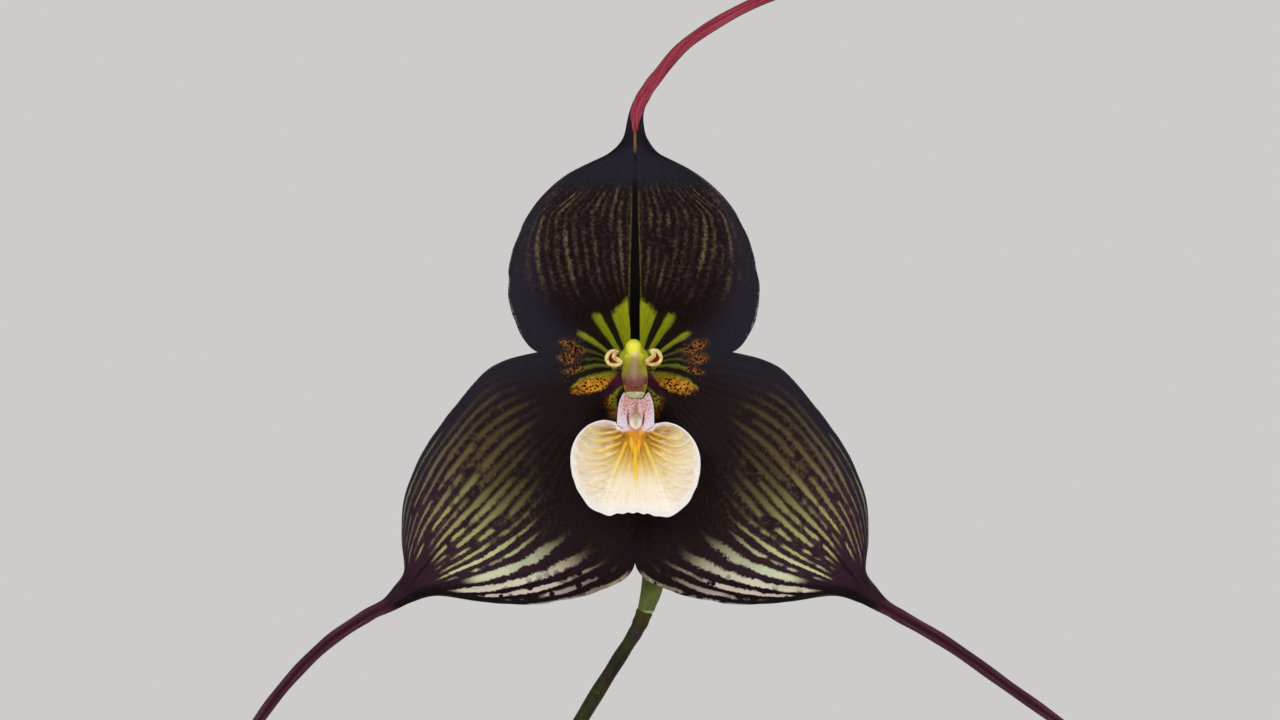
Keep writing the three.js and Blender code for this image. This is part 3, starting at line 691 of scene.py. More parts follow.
wiry = Finish("stalk_rind", Roughness=0.6, Specular_IOR_Level=0.12)
kind, along = wiry.across_along()
spot = wiry.where()
rind = spot.cloud(150, 4, 0.65).ramp([(0.3, "1a1309"), (0.48, "272110"), (0.66, "3a3819")])
rind.wash(spot.cloud(420, 3).swell(0.52, 0.62) * 0.6, "33272c")
rind.wash(spot.cloud(900, 2).swell(0.62, 0.7) * 0.5, "5e5a34")
rind.wash(along.fade(0.25, 0.75) * 0.45, "5e6a30")
rind.wash(along.swell(0.9, 1.0) * 0.5, "4a4420")
wiry.colour(rind)
grooves = (kind * (2 * math.pi * STALK_GROOVES)).maths("COSINE")
wiry.relief(grooves * 0.3 + spot.cloud(800, 3), 0.12, 0.7)

dry = Finish("dry_sheath", Roughness=0.75, Specular_IOR_Level=0.2)
kind, along = dry.across_along()
threads = point(kind * 40.0, along * 2.0).cloud(1.0, 3, 0.6)
husk = threads.ramp([(0.3, "584630"), (0.5, "7c6a44"), (0.7, "9f8e62")])
husk.wash(dry.where().cloud(260, 4).swell(0.48, 0.66) * 0.6, "5a6434")
dry.colour(husk)
dry.relief(threads, 0.15, 0.6)

bodies, worn = [], []
shares = np.linspace(0, 1, 300)
stalk_line = smooth(STALK_ROUTE, shares) + FLOWER
size = blend(1.15, 0.74, shares) + 0.03 * np.sin(shares * 90) + 0.24 * rise(0.8, 1, shares)
for node in STALK_NODES:
    size += 0.22 * hump(shares - node, 0.006)
add_body(skin(tube(stalk_line, size, sides=16)), 0)
for node in STALK_NODES:
    steps = np.array([0, 0.08, 0.4, 0.8, 0.99, 1, 0.7, 0.2])
    flare = np.array([0.02, 0.3, 0.3, 0.34, 0.44, 0.38, 0.24, 0.02])
    at = node + 0.042 * steps
    core = smooth(STALK_ROUTE, at) + FLOWER
    hug = tube(core, blend(1.15, 0.84, at) + flare, sides=24)
    slant = np.cos(once_round(24) + 5 * node)
    hug[:, :, 2] += 3.4 * np.maximum(slant, -0.5) * rise(0.4, 1, steps)[:, None]
    add_body(skin(hug), 1)
peduncle = make_piece("peduncle", gathered(bodies), [wiry, dry], worn)
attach(peduncle, "root")
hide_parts("flower_stalk")


# Floral bract: a thin pale green funnel at the stalk's last joint. It wraps the foot of the
# flower's own stem, and its open mouth is cut aslant to a point.
BRACT_ROUTE = [(1.15, 7.8, -29.9), (2.1, 7.9, -26.4), (2.5, 8.4, -20.5)]
BRACT_SIDES = 40
BRACT_NERVES = 9
# how far along its route and how wide, up the outside of the wall and down its inside
BRACT_WALL = np.array([
    (0, 0.6), (0.02, 0.98), (0.06, 1.07), (0.12, 1.06), (0.2, 1.12), (0.3, 1.22), (0.42, 1.29),
    (0.55, 1.34), (0.68, 1.38), (0.8, 1.41), (0.9, 1.43), (0.97, 1.44), (1, 1.42), (0.99, 1.3),
    (0.9, 1.22), (0.75, 1.12), (0.55, 1.0), (0.35, 0.8),
])

bract_skin = Finish("bract_skin", Roughness=0.6, Specular_IOR_Level=0.12)
kind, along = bract_skin.across_along()
spot = bract_skin.where()
nerves = (kind * (2 * math.pi * BRACT_NERVES)).maths("COSINE")
soft_green = spot.cloud(260, 3).ramp([(0.3, "4f5a2c"), (0.5, "66713c"), (0.7, "7f8a50")])
soft_green.wash(nerves.swell(0.2, 1.0) * 0.3, "4c5530")
soft_green.wash(along.fade(0.15, 0.33) * 0.55, "494c24")
soft_green.wash(along.near(0.085, 0.03, 0.025), "a3aa7e")
soft_green.wash(along.swell(0.5, 0.62) * 0.5, "7c8554")
bract_skin.colour(soft_green)
bract_skin.relief(nerves, 0.06, 0.6)

core = smooth(BRACT_ROUTE, BRACT_WALL[:, 0]) + FLOWER
funnel = level_ring(1.0, BRACT_SIDES, 0.0) * [1, 0.9, 1] * BRACT_WALL[:, 1, None, None] + core[:, None]
funnel[:, :, 2] += 1.3 * np.cos(once_round(BRACT_SIDES) - 2.2) * rise(0.7, 1, BRACT_WALL[:, :1])
bract = make_piece("bract_funnel", skin(funnel), [bract_skin])
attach(bract, "root")
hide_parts("floral_bract")


# Pedicel and ovary: the flower's own stem rises out of the bract, thickens to the six-ribbed
# ovary behind the cup, and bends forward to carry the sepals.
OVARY_ROUTE = [
    (1.95, 7.95, -25.5), (2.25, 8.45, -20.15), (1.9, 10.2, -15.5), (1.2, 12, -10.5), (0.5, 13.4, -5.6),
    (0.1, 12.6, -2.2), (0, 10.6, -0.9), (0, 8.6, -0.6), (0, 7.1, -0.6),
]
OVARY_RIBS = 6

ribbed = Finish("ovary_rind", Roughness=0.5, Specular_IOR_Level=0.3)
kind, along = ribbed.across_along()
spot = ribbed.where()
ribs = (kind * (2 * math.pi * OVARY_RIBS)).maths("COSINE")
rind = spot.cloud(200, 4).ramp([(0.3, "55602c"), (0.6, "78803f")])
rind.wash(ribs.swell(-0.2, 0.9) * 0.5, "5a3038")
rind.wash(along.swell(0.4, 0.75) * 0.55, "472430")
rind.wash(spot.cells(1100).fade(0.12, 0.3) * 0.5, "8f8a58")
ribbed.colour(rind)
ribbed.relief(ribs * 0.4 + spot.cloud(900, 2), 0.12, 0.7)

shares = np.linspace(0, 1, 110)
size = blend(0.78, 1.72, rise(0.45, 0.68, shares)) + 0.3 * rise(0.78, 0.86, shares)
size = (size - 0.55 * rise(0.86, 0.9, shares)) * (1 - 0.25 * rise(0.88, 1, shares))
ribbing = 0.02 + 0.09 * rise(0.45, 0.6, shares) * sink(0.82, 0.9, shares)
ovary_rings = tube(
    smooth(OVARY_ROUTE, shares) + FLOWER, size, sides=48, hint=(1, 0, 0),
    section=lambda angle: 1 + np.outer(ribbing, np.cos(OVARY_RIBS * angle)),
)
ovary = make_piece("ribbed_ovary", skin(ovary_rings), [ribbed])
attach(ovary, "root")
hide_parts("pedicel_and_ovary")


# Sepals: three fleshy blades, grown together at their feet as a shallow cup, each drawn out into
# a long grooved tail. The face is near black with pale broken stripes between its veins, and the
# cup's throat has lime rays and orange patches with dark freckles. The back is dull green.
BLADE_ROWS = 130
TAIL_ROWS = 120
BLADE_COLUMNS = 96
SEAM_GAP = 0.16
CUP_DEPTH = 7.5
CUP_RADIUS = 9.5
CHIN_DEPTH = 4
CHIN_WIDTH = 3.2
DORSAL_LANES = 14.0
LATERAL_LANES = 20.4
FACE_SWEEP = 0.0018
MARGIN_RECURVE = 1.7
TAIL_NECK_RADIUS = 0.85
TAIL_TIP_RADIUS = 0.42
TAIL_WRAP = 0.46 * math.pi
NECK_PASSES = 30
# each rib is a low margin point, a point on the middle vein and a high margin point, as (x, z)
DORSAL_RIBS = [[(-x, z), (0, middle), (x, z)] for x, z, middle in [
    (1.65, 0.15, 1.05), (6.2, 1.2, 6.2), (11.6, 1.7, 11), (14, 4.6, 15.4), (14.9, 8.9, 18.8),
    (14.1, 14, 21.2), (11.7, 18.9, 23.2), (8, 22.5, 24.7), (3.7, 24.6, 26), (1.5, 26.8, 27.7),
    (0.85, 29.6, 29.8),
]]
LATERAL_RIBS = [
    [(0.15, -2.25), (1.2, -1.75), (1.65, -0.15)],
    [(0.15, -9), (6.2, -4.7), (6.2, 0.9)],
    [(0.15, -17.5), (10.5, -8.7), (11.6, 1.4)],
    [(0.3, -24.1), (14, -12.4), (17.1, -0.3)],
    [(3.2, -26.4), (17.2, -15.8), (21.6, -5.2)],
    [(7.7, -27.8), (20, -18.8), (25.1, -10.1)],
    [(12.8, -28.5), (22.6, -21.4), (27.4, -15.6)],
    [(18.2, -28.2), (24.8, -23.8), (27.8, -20.6)],
    [(23.4, -27.5), (26.4, -25.7), (27.5, -24.4)],
    [(26.5, -28.2), (27.8, -27.3), (28.8, -26.5)],
    [(28.8, -29.3), (29.4, -28.6), (29.9, -27.9)],
]
DORSAL_TAIL = [
    (0.1, 2.4, 30), (0.95, 2.5, 31.8), (2.6, 2.7, 34.2), (6.5, 3.2, 38.5), (14.2, 4, 43.1), (24, 6, 46.6),
    (36, 8.5, 49.2), (48, 11, 52.6), (58, 13, 58.5), (65, 14.5, 67),
]
RIGHT_TAIL = [
    (29.4, 3.8, -28.6), (31.6, 4, -29.9), (37.4, 4.7, -33.3), (44.6, 5.2, -38.4), (51.5, 5.2, -43.4),
    (59, 4.8, -50), (66, 4, -58), (71.5, 3.4, -67), (75, 2.2, -77), (76.5, 0.5, -87.5),
]
LEFT_TAIL = [
    (-29.4, 3.8, -28.6), (-32, 4, -29.9), (-36.9, 4.5, -33.3), (-41.8, 4.7, -38.3), (-46, 4.4, -44.2),
    (-49.6, 3.8, -51.8), (-52.6, 2.8, -60.5), (-56.4, 1.2, -69), (-62, -0.6, -76.5), (-69.5, -2.2, -81.5),
]


def rings_of(x, y, z):
    # rows of points from three arrays, any of which may be one column for the whole row
    return np.stack(np.broadcast_arrays(x, y, z), axis=2)


def cup_depth(x, z):
    out = np.hypot(x, z)
    cup = CUP_DEPTH * hump(out, CUP_RADIUS)
    chin = CHIN_DEPTH * hump(x, CHIN_WIDTH) * rise(2.5, 8, -z) * (1 - 0.65 * rise(12, 24, -z))
    return cup + chin + FACE_SWEEP * out**2


def blotch(aside, z, middle, reach, tilt, ragged):
    # a ragged oval patch, tilt degrees up towards the column
    lean, stand = math.cos(math.radians(tilt)), math.sin(math.radians(tilt))
    off = aside - middle[0]
    up = z - middle[1]
    length = (off * lean - up * stand) / reach[0]
    height = (off * stand + up * lean) / reach[1]
    return (length.hypot(height) + ragged * 0.9).fade(0.6, 1.2)


def mark_throat(ground, spot, x, z):
    # lime rays, placed by their turn from straight up in degrees and their reach in millimetres
    aside = abs(x + 0.12)
    over = z + 1.3
    wobble = spot.cloud(0.7, 2) - 0.5
    ragged = spot.cloud(1.6, 3) - 0.5
    turn = aside.maths("ARCTAN2", over) * math.degrees(1) + wobble * 2.16
    out = aside.hypot(over) + ragged * 1.3
    # the lower rays droop as they run out, by so many degrees a millimetre
    droop = turn.ramp([
        (38, 0), (45, 1), (54, 1.1), (62, 1.8), (70, 3.2), (78, 4.2), (90, 4.2), (98, 3.5), (106, 2.6),
        (116, 0),
    ], span=180, peak=5)
    turn = turn - droop * (out - 3.3)
    rays = turn.ramp([
        (4.2, "0a0806"), (5.2, "9aa216"), (18.5, "8b9218"), (20.5, "1c160e"), (27.5, "1c160e"),
        (29, "8b9218"), (35, "7c811a"), (37, "17120c"), (43.5, "1a140e"), (45.3, "8a8c24"),
        (48.6, "7a7c26"), (50.6, "15100b"), (54, "1c160e"), (56, "565424"), (58, "1e170e"),
        (60.5, "1c160e"), (62, "4e561e"), (64, "17120c"), (66.5, "221c10"), (68.5, "6c742c"),
        (71, "5a6024"), (73.5, "1e150e"), (79, "1c150e"), (82, "666822"), (86, "8f9228"),
        (91, "98922c"), (97, "a07a28"), (105, "6a4a20"), (111, "2a1420"), (126, "1a0c14"),
        (131, "3a3c16"), (156, "0e080a"),
    ], span=180)
    reach = turn.ramp([
        (4, 9.4), (6, 9.4), (18, 8.3), (22, 8.4), (32, 9), (43, 8.6), (47.5, 8.7), (53, 7.2), (56, 7.4),
        (59, 6), (62, 7), (65, 6.2), (69.5, 7.4), (74, 6.6), (80, 7), (86, 7.9), (91, 7), (97, 5.2),
        (102, 3.8), (107, 3.2), (112, 2.6), (135, 3),
    ], span=180, peak=12)
    streaks = point(turn * 0.5, out * 0.35).cloud(1.0, 2)
    rays.wash(streaks.swell(0.45, 0.75) * 0.3, "33380e")
    tan_foot = turn.near(86, 7, 3) * out.fade(2.2, 3.2)
    rays.wash(tan_foot * 0.75, "80603c")
    bluish_foot = turn.near(33, 6, 3) * out.fade(3.0, 4.6)
    rays.wash(bluish_foot * 0.5, "587a34")
    ground.wash((out - reach).fade(-0.9, 0.15), rays)

    # the bright collar round the column, and a dark line of painted shadow between it and each petal
    collar = (aside / 1.8).hypot((z - 0.55) / 1.95)
    ground.wash((collar + ragged * 0.2).fade(0.86, 1.06), "bec02c")
    off_shadow_line = aside * 0.603 - z * 0.798 - 0.42
    down_shadow_line = aside * 0.798 + z * 0.603
    petal_shadow_line = off_shadow_line.near(0.0, 0.05, 0.08) * down_shadow_line.near(1.8, 0.42, 0.12)
    # a dark painted shadow line along the edge of each petal's fold
    ground.wash(petal_shadow_line * 0.9, "1c1608")

    # a yellow-green strip and a speckled bloom beside the lip's claw
    strip_line = (z * -1.0).ramp([
        (2.4, 1.45), (2.88, 2.2), (3.92, 2.73), (4.96, 2.55), (6, 2.2),
    ], span=8, peak=4.4)
    off_strip = aside - strip_line + ragged * 0.5
    strip_span = z.near(-4.4, 1.9, 0.5) * aside.swell(1.2, 1.5)
    bloom = off_strip.near(0.4, 0.4, 0.35) * strip_span * ragged.ramp([(0.0, 0.9), (0.12, 0.45)])
    ground.wash(bloom, "74491a")
    strip_tone = mix(z.swell(-5.4, -4.2), "7c561c", "8d8e22")
    ground.wash(off_strip.near(-0.1, 0.42, 0.2) * strip_span, strip_tone)

    # orange-brown patches under dark red freckles
    patch = blotch(aside, z, (4.95, -2.4), (2.4, 0.95), 15, ragged)
    upper = blotch(aside, z, (7.3, 2.1), (1.75, 0.75), -28, ragged)
    middle = blotch(aside, z, (7.75, 0.75), (1.35, 0.7), -8, ragged)
    lower = blotch(aside, z, (7.15, -0.65), (1.4, 0.45), 12, ragged)
    browned = upper.most(middle).most(lower)
    outer_end = aside.swell(5.3, 6.8)
    ground.wash(patch, mix(ragged.swell(-0.1, 0.1), "d69c2c", "b4701e"))
    ground.wash(patch * outer_end * 0.5, "7a4820")
    mottle = spot.cloud(4.2, 2).swell(0.44, 0.57)
    ground.wash(browned * (mottle * 0.8 + 0.1), "966428")
    flecks = spot.cells(2.3).fade(0.2, 0.36) * out.near(7.6, 0.8, 0.5) * turn.near(63, 12, 5)
    ground.wash(flecks * 0.8, "6c4a26")
    dashes = spot.stretched((0.75, 1.0, 1.1)).cells(2.9)
    size_of_dot = outer_end.most(browned) * 0.09 + 0.37
    speckled_strip = off_strip.near(0.4, 0.9, 0.2) * strip_span * 0.9
    dots = (dashes - size_of_dot).fade(-0.03, 0.09) * patch.most(browned).most(speckled_strip)
    ground.wash(dots, "2e0c0a")

    # a purple wedge down from the column's side
    beside = aside - 1.3
    down = beside * 0.683 - over * 0.73
    off_wedge = abs(beside * 0.73 + over * 0.683) + down * 0.11 + ragged * 0.4
    wedge = off_wedge.fade(0.6, 0.9) * down.fade(2.4, 4.2) * down.swell(-0.8, -0.2)
    ground.wash(wedge, mix(down.swell(0.0, 2.6), "5c2a40", "321426"))


def sepal_face(name, dorsal):
    face = Finish(name, Roughness=0.5, Specular_IOR_Level=0.05)
    across, along = face.across_along()
    spot, x, _, z = face.millimetres_from(FLOWER)
    side = across * 2.0 - 1.0
    width = abs(side)
    grain = spot.cloud(2.4, 4, 0.7)
    smut = spot.cloud(0.9, 3)
    if dorsal:
        # the margins of the upper sepal and the flatter band below its neck are a bluish grey: painted
        # sheen where the surface curves back
        ground = mix(width.swell(0.66, 0.9), "150909", "1f1c25")
        ground.wash(z.swell(19.5, 23.0), "1f1c26")
    else:
        ground = mix(along.swell(0.3, 0.6), "1a1011", "2e1b26")
        # the upper margin is a bluish grey: painted sheen where the surface curves back
        ground.wash(side.swell(0.45, 0.9) * 0.8, "1f1d26")
        # darker still along the low margin, where the two lower sepals meet below the lip: painted shade
        # in that trough
        ground.wash((side - along).fade(-1.35, -1.1), "150a0e")
    ground.wash(grain.swell(0.5, 0.72) * 0.35, "38283a" if dorsal else "3a2630")

    # pale broken stripes run between the veins from the throat towards the neck, a lane for each
    wander = point(side * 3.0, along * 4.0, 5.0).cloud(1.0, 2) - 0.5
    if dorsal:
        pinch = z.swell(17.5, 22.0) * 0.5 + 1.0
        lane = width * pinch * DORSAL_LANES + (wander * 0.5 - 0.3)
        own = lane.maths("FLOOR") + side.maths("SIGN") * 40.0
    else:
        lane = across.ramp([
            (0.0, 0.5), (0.1, 3.0), (0.14, 3.5), (0.225, 4.5), (0.25, 4.8), (0.6, 13.2),
            (1.0, LATERAL_LANES),
        ], peak=24) + wander * 0.9
        own = lane.maths("FLOOR")
    within = lane.maths("FRACT") + (grain - 0.5) * (0.34 if dorsal else 0.5)
    luck = face.step("TexWhiteNoise", {"W": own}, noise_dimensions="1D")
    beads = point(own * 7.31, along * 9.0).cloud(1.0, 2, 0.6)
    if dorsal:
        half = (grain - 0.5) * 0.5 + (beads - 0.5) * 0.3 + 0.17
        soft_edge = 0.2
        stripe_tone = mix(grain.swell(0.4, 0.6), "584638", "6c5c40")
        bright = width.ramp([
            (0.0, 0.2), (0.09, 0.3), (0.13, 0.85), (0.18, 0.35), (0.22, 0.35), (0.26, 0.8), (0.31, 0.35),
            (0.5, 0.35), (0.557, 1.1), (0.61, 0.4), (0.73, 0.3), (0.79, 0.8), (0.84, 0.3), (0.93, 0.0),
        ]) * luck.ramp([(0.0, 0.55), (1.0, 1.0)]) * grain.ramp([(0.35, 0.5), (0.65, 1.15)])
        bright = bright * beads.ramp([(0.35, 0.55), (0.6, 1.1)])
        limits = (z + smut * 2.5).fade(21.0, 23.4) * z.swell(6.5, 12.5)
        broken = beads.swell(0.34, 0.52)
        haze = grain.swell(0.48, 0.66) * limits * smut.ramp([(0.4, 0.3), (0.6, 0.8)])
        ground.wash(haze, "34242c")
    else:
        start = across.ramp([
            (0.0, 0.29), (0.12, 0.31), (0.2, 0.27), (0.25, 0.36), (0.36, 0.26), (0.5, 0.21), (0.66, 0.16),
            (0.75, 0.18), (0.9, 0.24), (0.96, 0.42),
        ])
        past_start = along - start
        end = across.ramp([
            (0.0, 0.62), (0.15, 0.69), (0.3, 0.67), (0.5, 0.64), (0.7, 0.68), (0.9, 0.76), (1.0, 0.7),
        ]) + (luck - 0.5) * 0.08
        half = across.ramp([
            (0.03, 0.22), (0.1, 0.26), (0.13, 0.25), (0.24, 0.25), (0.27, 0.19), (0.55, 0.2),
            (0.62, 0.17), (0.7, 0.15), (0.92, 0.13),
        ]) + (beads - 0.5) * 0.34
        half = half * past_start.ramp([(0.02, 0.45), (0.2, 1.0)])
        half = half + along.fade(0.34, 0.56) * across.swell(0.3, 0.45) * 0.09
        soft_edge = along.fade(0.34, 0.6) * across.swell(0.28, 0.4) * 0.14 + 0.07
        stripe_tone = across.ramp([
            (0.1, "cdbcb2"), (0.15, "d2ccb8"), (0.19, "d6ddbe"), (0.28, "cdd3a6"), (0.36, "bec282"),
            (0.52, "b6b672"), (0.64, "a39e66"), (0.72, "857c5a"), (0.86, "7a7154"), (0.93, "9c9a6c"),
        ])
        inner_end = along.fade(0.32, 0.52) + smut * 0.3
        stripe_tone.wash(inner_end * 0.75, "68562e")
        bright = luck.ramp([(0.0, 0.3), (0.4, 0.65), (1.0, 1.0)]) * across.ramp([
            (0.02, 0.9), (0.08, 1.3), (0.12, 1.4), (0.25, 1.4), (0.28, 1.0), (0.66, 0.95), (0.72, 0.85),
            (0.9, 0.75), (0.99, 0.4),
        ])
        bright = bright.most(across.near(0.185, 0.065, 0.015) * 0.92)
        bright = bright.most(across.near(0.07, 0.045, 0.015) * 0.75)
        bright = bright * along.ramp([(0.28, 0.4), (0.45, 0.8), (0.58, 1.0)])
        limits = past_start.swell(0.0, 0.1) * (along - end).fade(-0.03, 0.035)
        broken = (beads + (smut - 0.5) * 0.3).swell(0.36, 0.5)
        broken = broken.most(across.near(0.185, 0.07, 0.01) * 0.9)
        haze = grain.swell(0.42, 0.66) * smut.swell(0.4, 0.6) * side.near(0.15, 0.5, 0.3)
        ground.wash(haze * along.near(0.45, 0.15, 0.12) * 0.55, "62503a")
    past_edge = abs(within - 0.5) - half
    stripe = (past_edge / soft_edge).fade(-1.0, 1.0)
    ground.wash(stripe * bright * broken * limits, stripe_tone)
    if not dorsal:
        blots = spot.cells(0.8).fade(0.3, 0.38) * across.fade(0.1, 0.17) * limits
        ground.wash(blots, "1c0e18")

    mark_throat(ground, spot, x, z)
    free = along.swell(0.24, 0.3) if dorsal else (along + side * 0.05).swell(0.3, 0.36)
    # a thin pale line along the free margins: painted highlight on the rim
    edge_highlight = width.swell(0.982, 0.996) * grain.swell(0.42, 0.6) * along.fade(0.9, 1.0)
    ground.wash(edge_highlight * free * 0.6, "8a8480")
    if dorsal:
        # the sunken black middle vein, with a fine tan line down each side, and the gilt neck
        off_vein = abs(x) - (z.swell(7.0, 21.0) * -0.3 + 0.58)
        vein_span = z.fade(19.0, 21.5) * z.swell(5.0, 7.0)
        tan_line = off_vein.near(0.14, 0.06, 0.1) * vein_span * grain.ramp([(0.35, 0.3), (0.6, 0.8)])
        ground.wash(tan_line, "645a28")
        ground.wash(off_vein.fade(-0.06, 0.04) * z.fade(20.5, 23.0), "050304")
        ground.wash(x.near(0.0, 0.13, 0.1) * z.near(26.4, 1.2, 0.4), "8a6a3a")
    else:
        # the pale torn start of the free upper margin
        notch = along.near(0.36, 0.035, 0.02) * side.fade(-0.985, -0.972) * grain.swell(0.4, 0.5)
        ground.wash(notch * 0.75, "a8977e")

    # the tail: a grooved strap, crimson on the upper sepal and dull maroon on the lower two
    streaks = point(side * 5.0, along * 9.0, 2.0).cloud(1.0, 3, 0.6)
    if dorsal:
        strap = streaks.ramp([(0.3, "6e2038"), (0.5, "9a3f54"), (0.68, "c27a84")])
        strap.wash(side.near(-0.05, 0.16, 0.1) * 0.8, "561028")
        strap_edge = along.ramp([(0.886, 0), (0.9, 0.14), (0.932, 0.28), (1, 0.7), (1.2, 0.78)], span=2)
        past_strap = width - strap_edge
        strap.wash(past_strap.swell(-0.06, 0.08), "4a3a46")
        ground.wash(along.swell(0.96, 1.04), strap)
        tongue = past_strap.fade(-0.04, 0.06) * along.swell(0.87, 0.89)
        ground.wash(tongue, streaks.ramp([(0.35, "7a1f34"), (0.6, "b04a5c")]))
    else:
        strap = streaks.ramp([(0.3, "3a2430"), (0.5, "4a2532"), (0.7, "64404c")])
        strap.wash(side.near(0.0, 0.2, 0.12) * 0.75, "2a0d18")
        strap.wash(width.swell(0.7, 0.9) * 0.7, "62525a")
        ground.wash(along.swell(0.95, 1.04), strap)
    face.colour(ground)
    face.roughness(grain.ramp([(0.3, 0.42), (0.7, 0.6)]))
    ridge = (lane * (2 * math.pi)).maths("COSINE")
    face.relief(grain * 0.9 + ridge * 0.25, 0.12, 0.7)
    return face


dorsal_face = sepal_face("dorsal_sepal_face", True)
lateral_face = sepal_face("lateral_sepal_face", False)

sepal_back = Finish("sepal_back", Roughness=0.6, Specular_IOR_Level=0.25)
across, along = sepal_back.across_along()
spot = sepal_back.millimetres_from(FLOWER)[0]
grain = spot.cloud(1.6, 4, 0.65)
veins = ((across + grain * 0.01) * 100.0).maths("COSINE")
dull = spot.cloud(0.2, 3).ramp([(0.3, "4a4a2c"), (0.5, "5c5a34"), (0.7, "6b6640")])
dull.wash(veins.swell(-0.3, 0.7) * 0.7, "3a2028")
dull.wash(grain.swell(0.5, 0.65) * 0.5, "2e1c24")
rim = abs(across - 0.5)
dull.wash(rim.swell(0.36, 0.49) * 0.7, "2a2028")
dull.wash(along.swell(0.9, 1.05), "4a2632")
sepal_back.colour(dull)
sepal_back.relief(veins * 0.4 + grain, 0.14, 0.7)


def sepal_rings(ribs, tail, seam_low, seam_high, mirror, dorsal, twist):
    t = np.linspace(0, 1, BLADE_ROWS)
    low, middle, high = (smooth([rib[side] for rib in ribs], t) for side in range(3))
    shut_low = SEAM_GAP * sink(seam_low, seam_low + 0.06, t)
    shut_high = SEAM_GAP * sink(seam_high, seam_high + 0.06, t)
    if dorsal:
        low[:, 1] -= shut_low
        high[:, 1] -= shut_high
        lean = -0.3 * rise(0.3, 0.5, t) * sink(0.75, 0.9, t)
        low[:, 0] += lean
        high[:, 0] += lean
    else:
        low[:, 0] -= shut_low
        high[:, 1] += shut_high
    inner = np.linspace(-0.97, 0.97, BLADE_COLUMNS - 5)
    s = np.concatenate([[-1, -0.995, -0.985], inner, [0.985, 0.995, 1]])
    width = np.abs(s)

    # face of the blade, with a slightly crisped margin, raised veins and a sunken middle vein
    seam = np.where(s < 0, seam_low, seam_high)
    free = rise(0, 0.3, t[:, None] - seam) * sink(0.8, 0.97, t)[:, None]
    crisp = np.sin(61 * t[:, None] + 2 * np.sign(s)) + 0.6 * np.sin(113 * t[:, None] + 5 * s)
    reach = s * (1 + 0.005 * crisp * rise(0.8, 1, width) * free)
    half, bow = (high - low) / 2, (high + low) / 2 - middle
    x = middle[:, :1] + reach * half[:, :1] + reach**2 * bow[:, :1]
    z = middle[:, 1:] + reach * half[:, 1:] + reach**2 * bow[:, 1:]
    y = cup_depth(x, z) + MARGIN_RECURVE * width**4 * free
    y += 0.12 * crisp * rise(0.86, 1, width) * free
    lanes = 13 * width if dorsal else 10 * s
    plain = rise(0.15, 0.35, t) * sink(0.82, 0.95, t)
    y += 0.05 * np.cos(2 * math.pi * lanes) * plain[:, None] * sink(0.85, 0.95, width)
    y += 0.3 * hump(s, 0.035) * (rise(0.12, 0.3, t) * sink(0.7, 0.85, t))[:, None]
    puckers = np.sin(0.75 * x + 1.3 * np.sin(0.4 * z)) * np.sin(0.6 * z + 0.5)
    y += 0.14 * puckers * free * rise(0.1, 0.5, width)
    edge = 0.22 + 0.78 * (1 - width**10)
    thick = (0.62 + 0.5 * rise(0.8, 1, t))[:, None] * edge
    thick += 0.35 * hump(s, 0.06) * rise(0.12, 0.35, t)[:, None]
    face = rings_of(mirror * x, y, z)
    back = rings_of(mirror * x, y + thick, z)
    blade = front_and_back(face, back)

    # tail: rings across its route, hollowed along the face
    shares = np.linspace(0, 1, TAIL_ROWS + 1)[1:]
    centre = smooth(tail, shares)
    along = unit(np.gradient(centre, axis=0))
    sideways = unit(np.cross([0, 1, 0], along))
    if np.dot(sideways[0], face[-1, -1] - face[-1, 0]) < 0:
        sideways = -sideways
    deep = unit(np.array([0, 1, 0]) - along * along[:, 1:2])
    turn = (twist * rise(0.15, 1, shares))[:, None]
    flat = sideways * np.cos(turn) + deep * np.sin(turn)
    deep = deep * np.cos(turn) - sideways * np.sin(turn)
    size = blend(TAIL_NECK_RADIUS, TAIL_TIP_RADIUS, shares) * (1 + 0.03 * np.sin(shares * 70))
    size *= np.sqrt(1 - 0.96 * rise(0.975, 1, shares))
    across = flat[:, None] * np.sin(TAIL_WRAP * s)[:, None]
    bulge = np.cos(TAIL_WRAP * s)
    hollowed = 0.34 * hump(s, 0.3) - 0.55 * bulge
    tail_face, tail_back = (
        centre[:, None] + size[:, None, None] * (across + deep[:, None] * depth[:, None])
        for depth in (hollowed, 0.62 * bulge)
    )
    tail_rings = front_and_back(tail_face, tail_back)

    # the blade flows into the tail through a few smoothed rings
    rings = np.concatenate([blade, tail_rings])
    for _ in range(NECK_PASSES):
        near = slice(BLADE_ROWS - 8, BLADE_ROWS + 5)
        before = slice(near.start - 1, near.stop - 1)
        after = slice(near.start + 1, near.stop + 1)
        rings[near] = 0.5 * rings[near] + 0.25 * (rings[before] + rings[after])
    columns = there_and_back(s) / 2 + 0.5
    return rings + FLOWER, columns, np.concatenate([t, 1 + shares])[:, None]


for name, node, ribs, tail, seams, mirror, face, twist in [
    ("sepal_dorsal", "dorsal_sepal", DORSAL_RIBS, DORSAL_TAIL, (0.2, 0.2), 1, dorsal_face, 0.7),
    ("sepal_right", "lateral_sepal_right", LATERAL_RIBS, RIGHT_TAIL, (0.28, 0.18), 1, lateral_face, 0.9),
    ("sepal_left", "lateral_sepal_left", LATERAL_RIBS, LEFT_TAIL, (0.28, 0.18), -1, lateral_face, -0.9),
]:
    rings, columns, rows = sepal_rings(ribs, tail, *seams, mirror, face is dorsal_face, twist)
    body = skin(rings, across=columns, along=rows)
    sepal = make_piece(name, body, [face, sepal_back], two_faced(rings, body), crease=70)
    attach(sepal, "root")
    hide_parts(node)


# Column: the fleshy rod in the middle of the flower, flanked by two thin yellow-green wings. It
# is tan above and flushed mauve below, and its foot runs forward to a pale ledge for the lip.
COLUMN_X = -0.06
COLUMN_SIDES = 64
FOOT_SIDES = 48
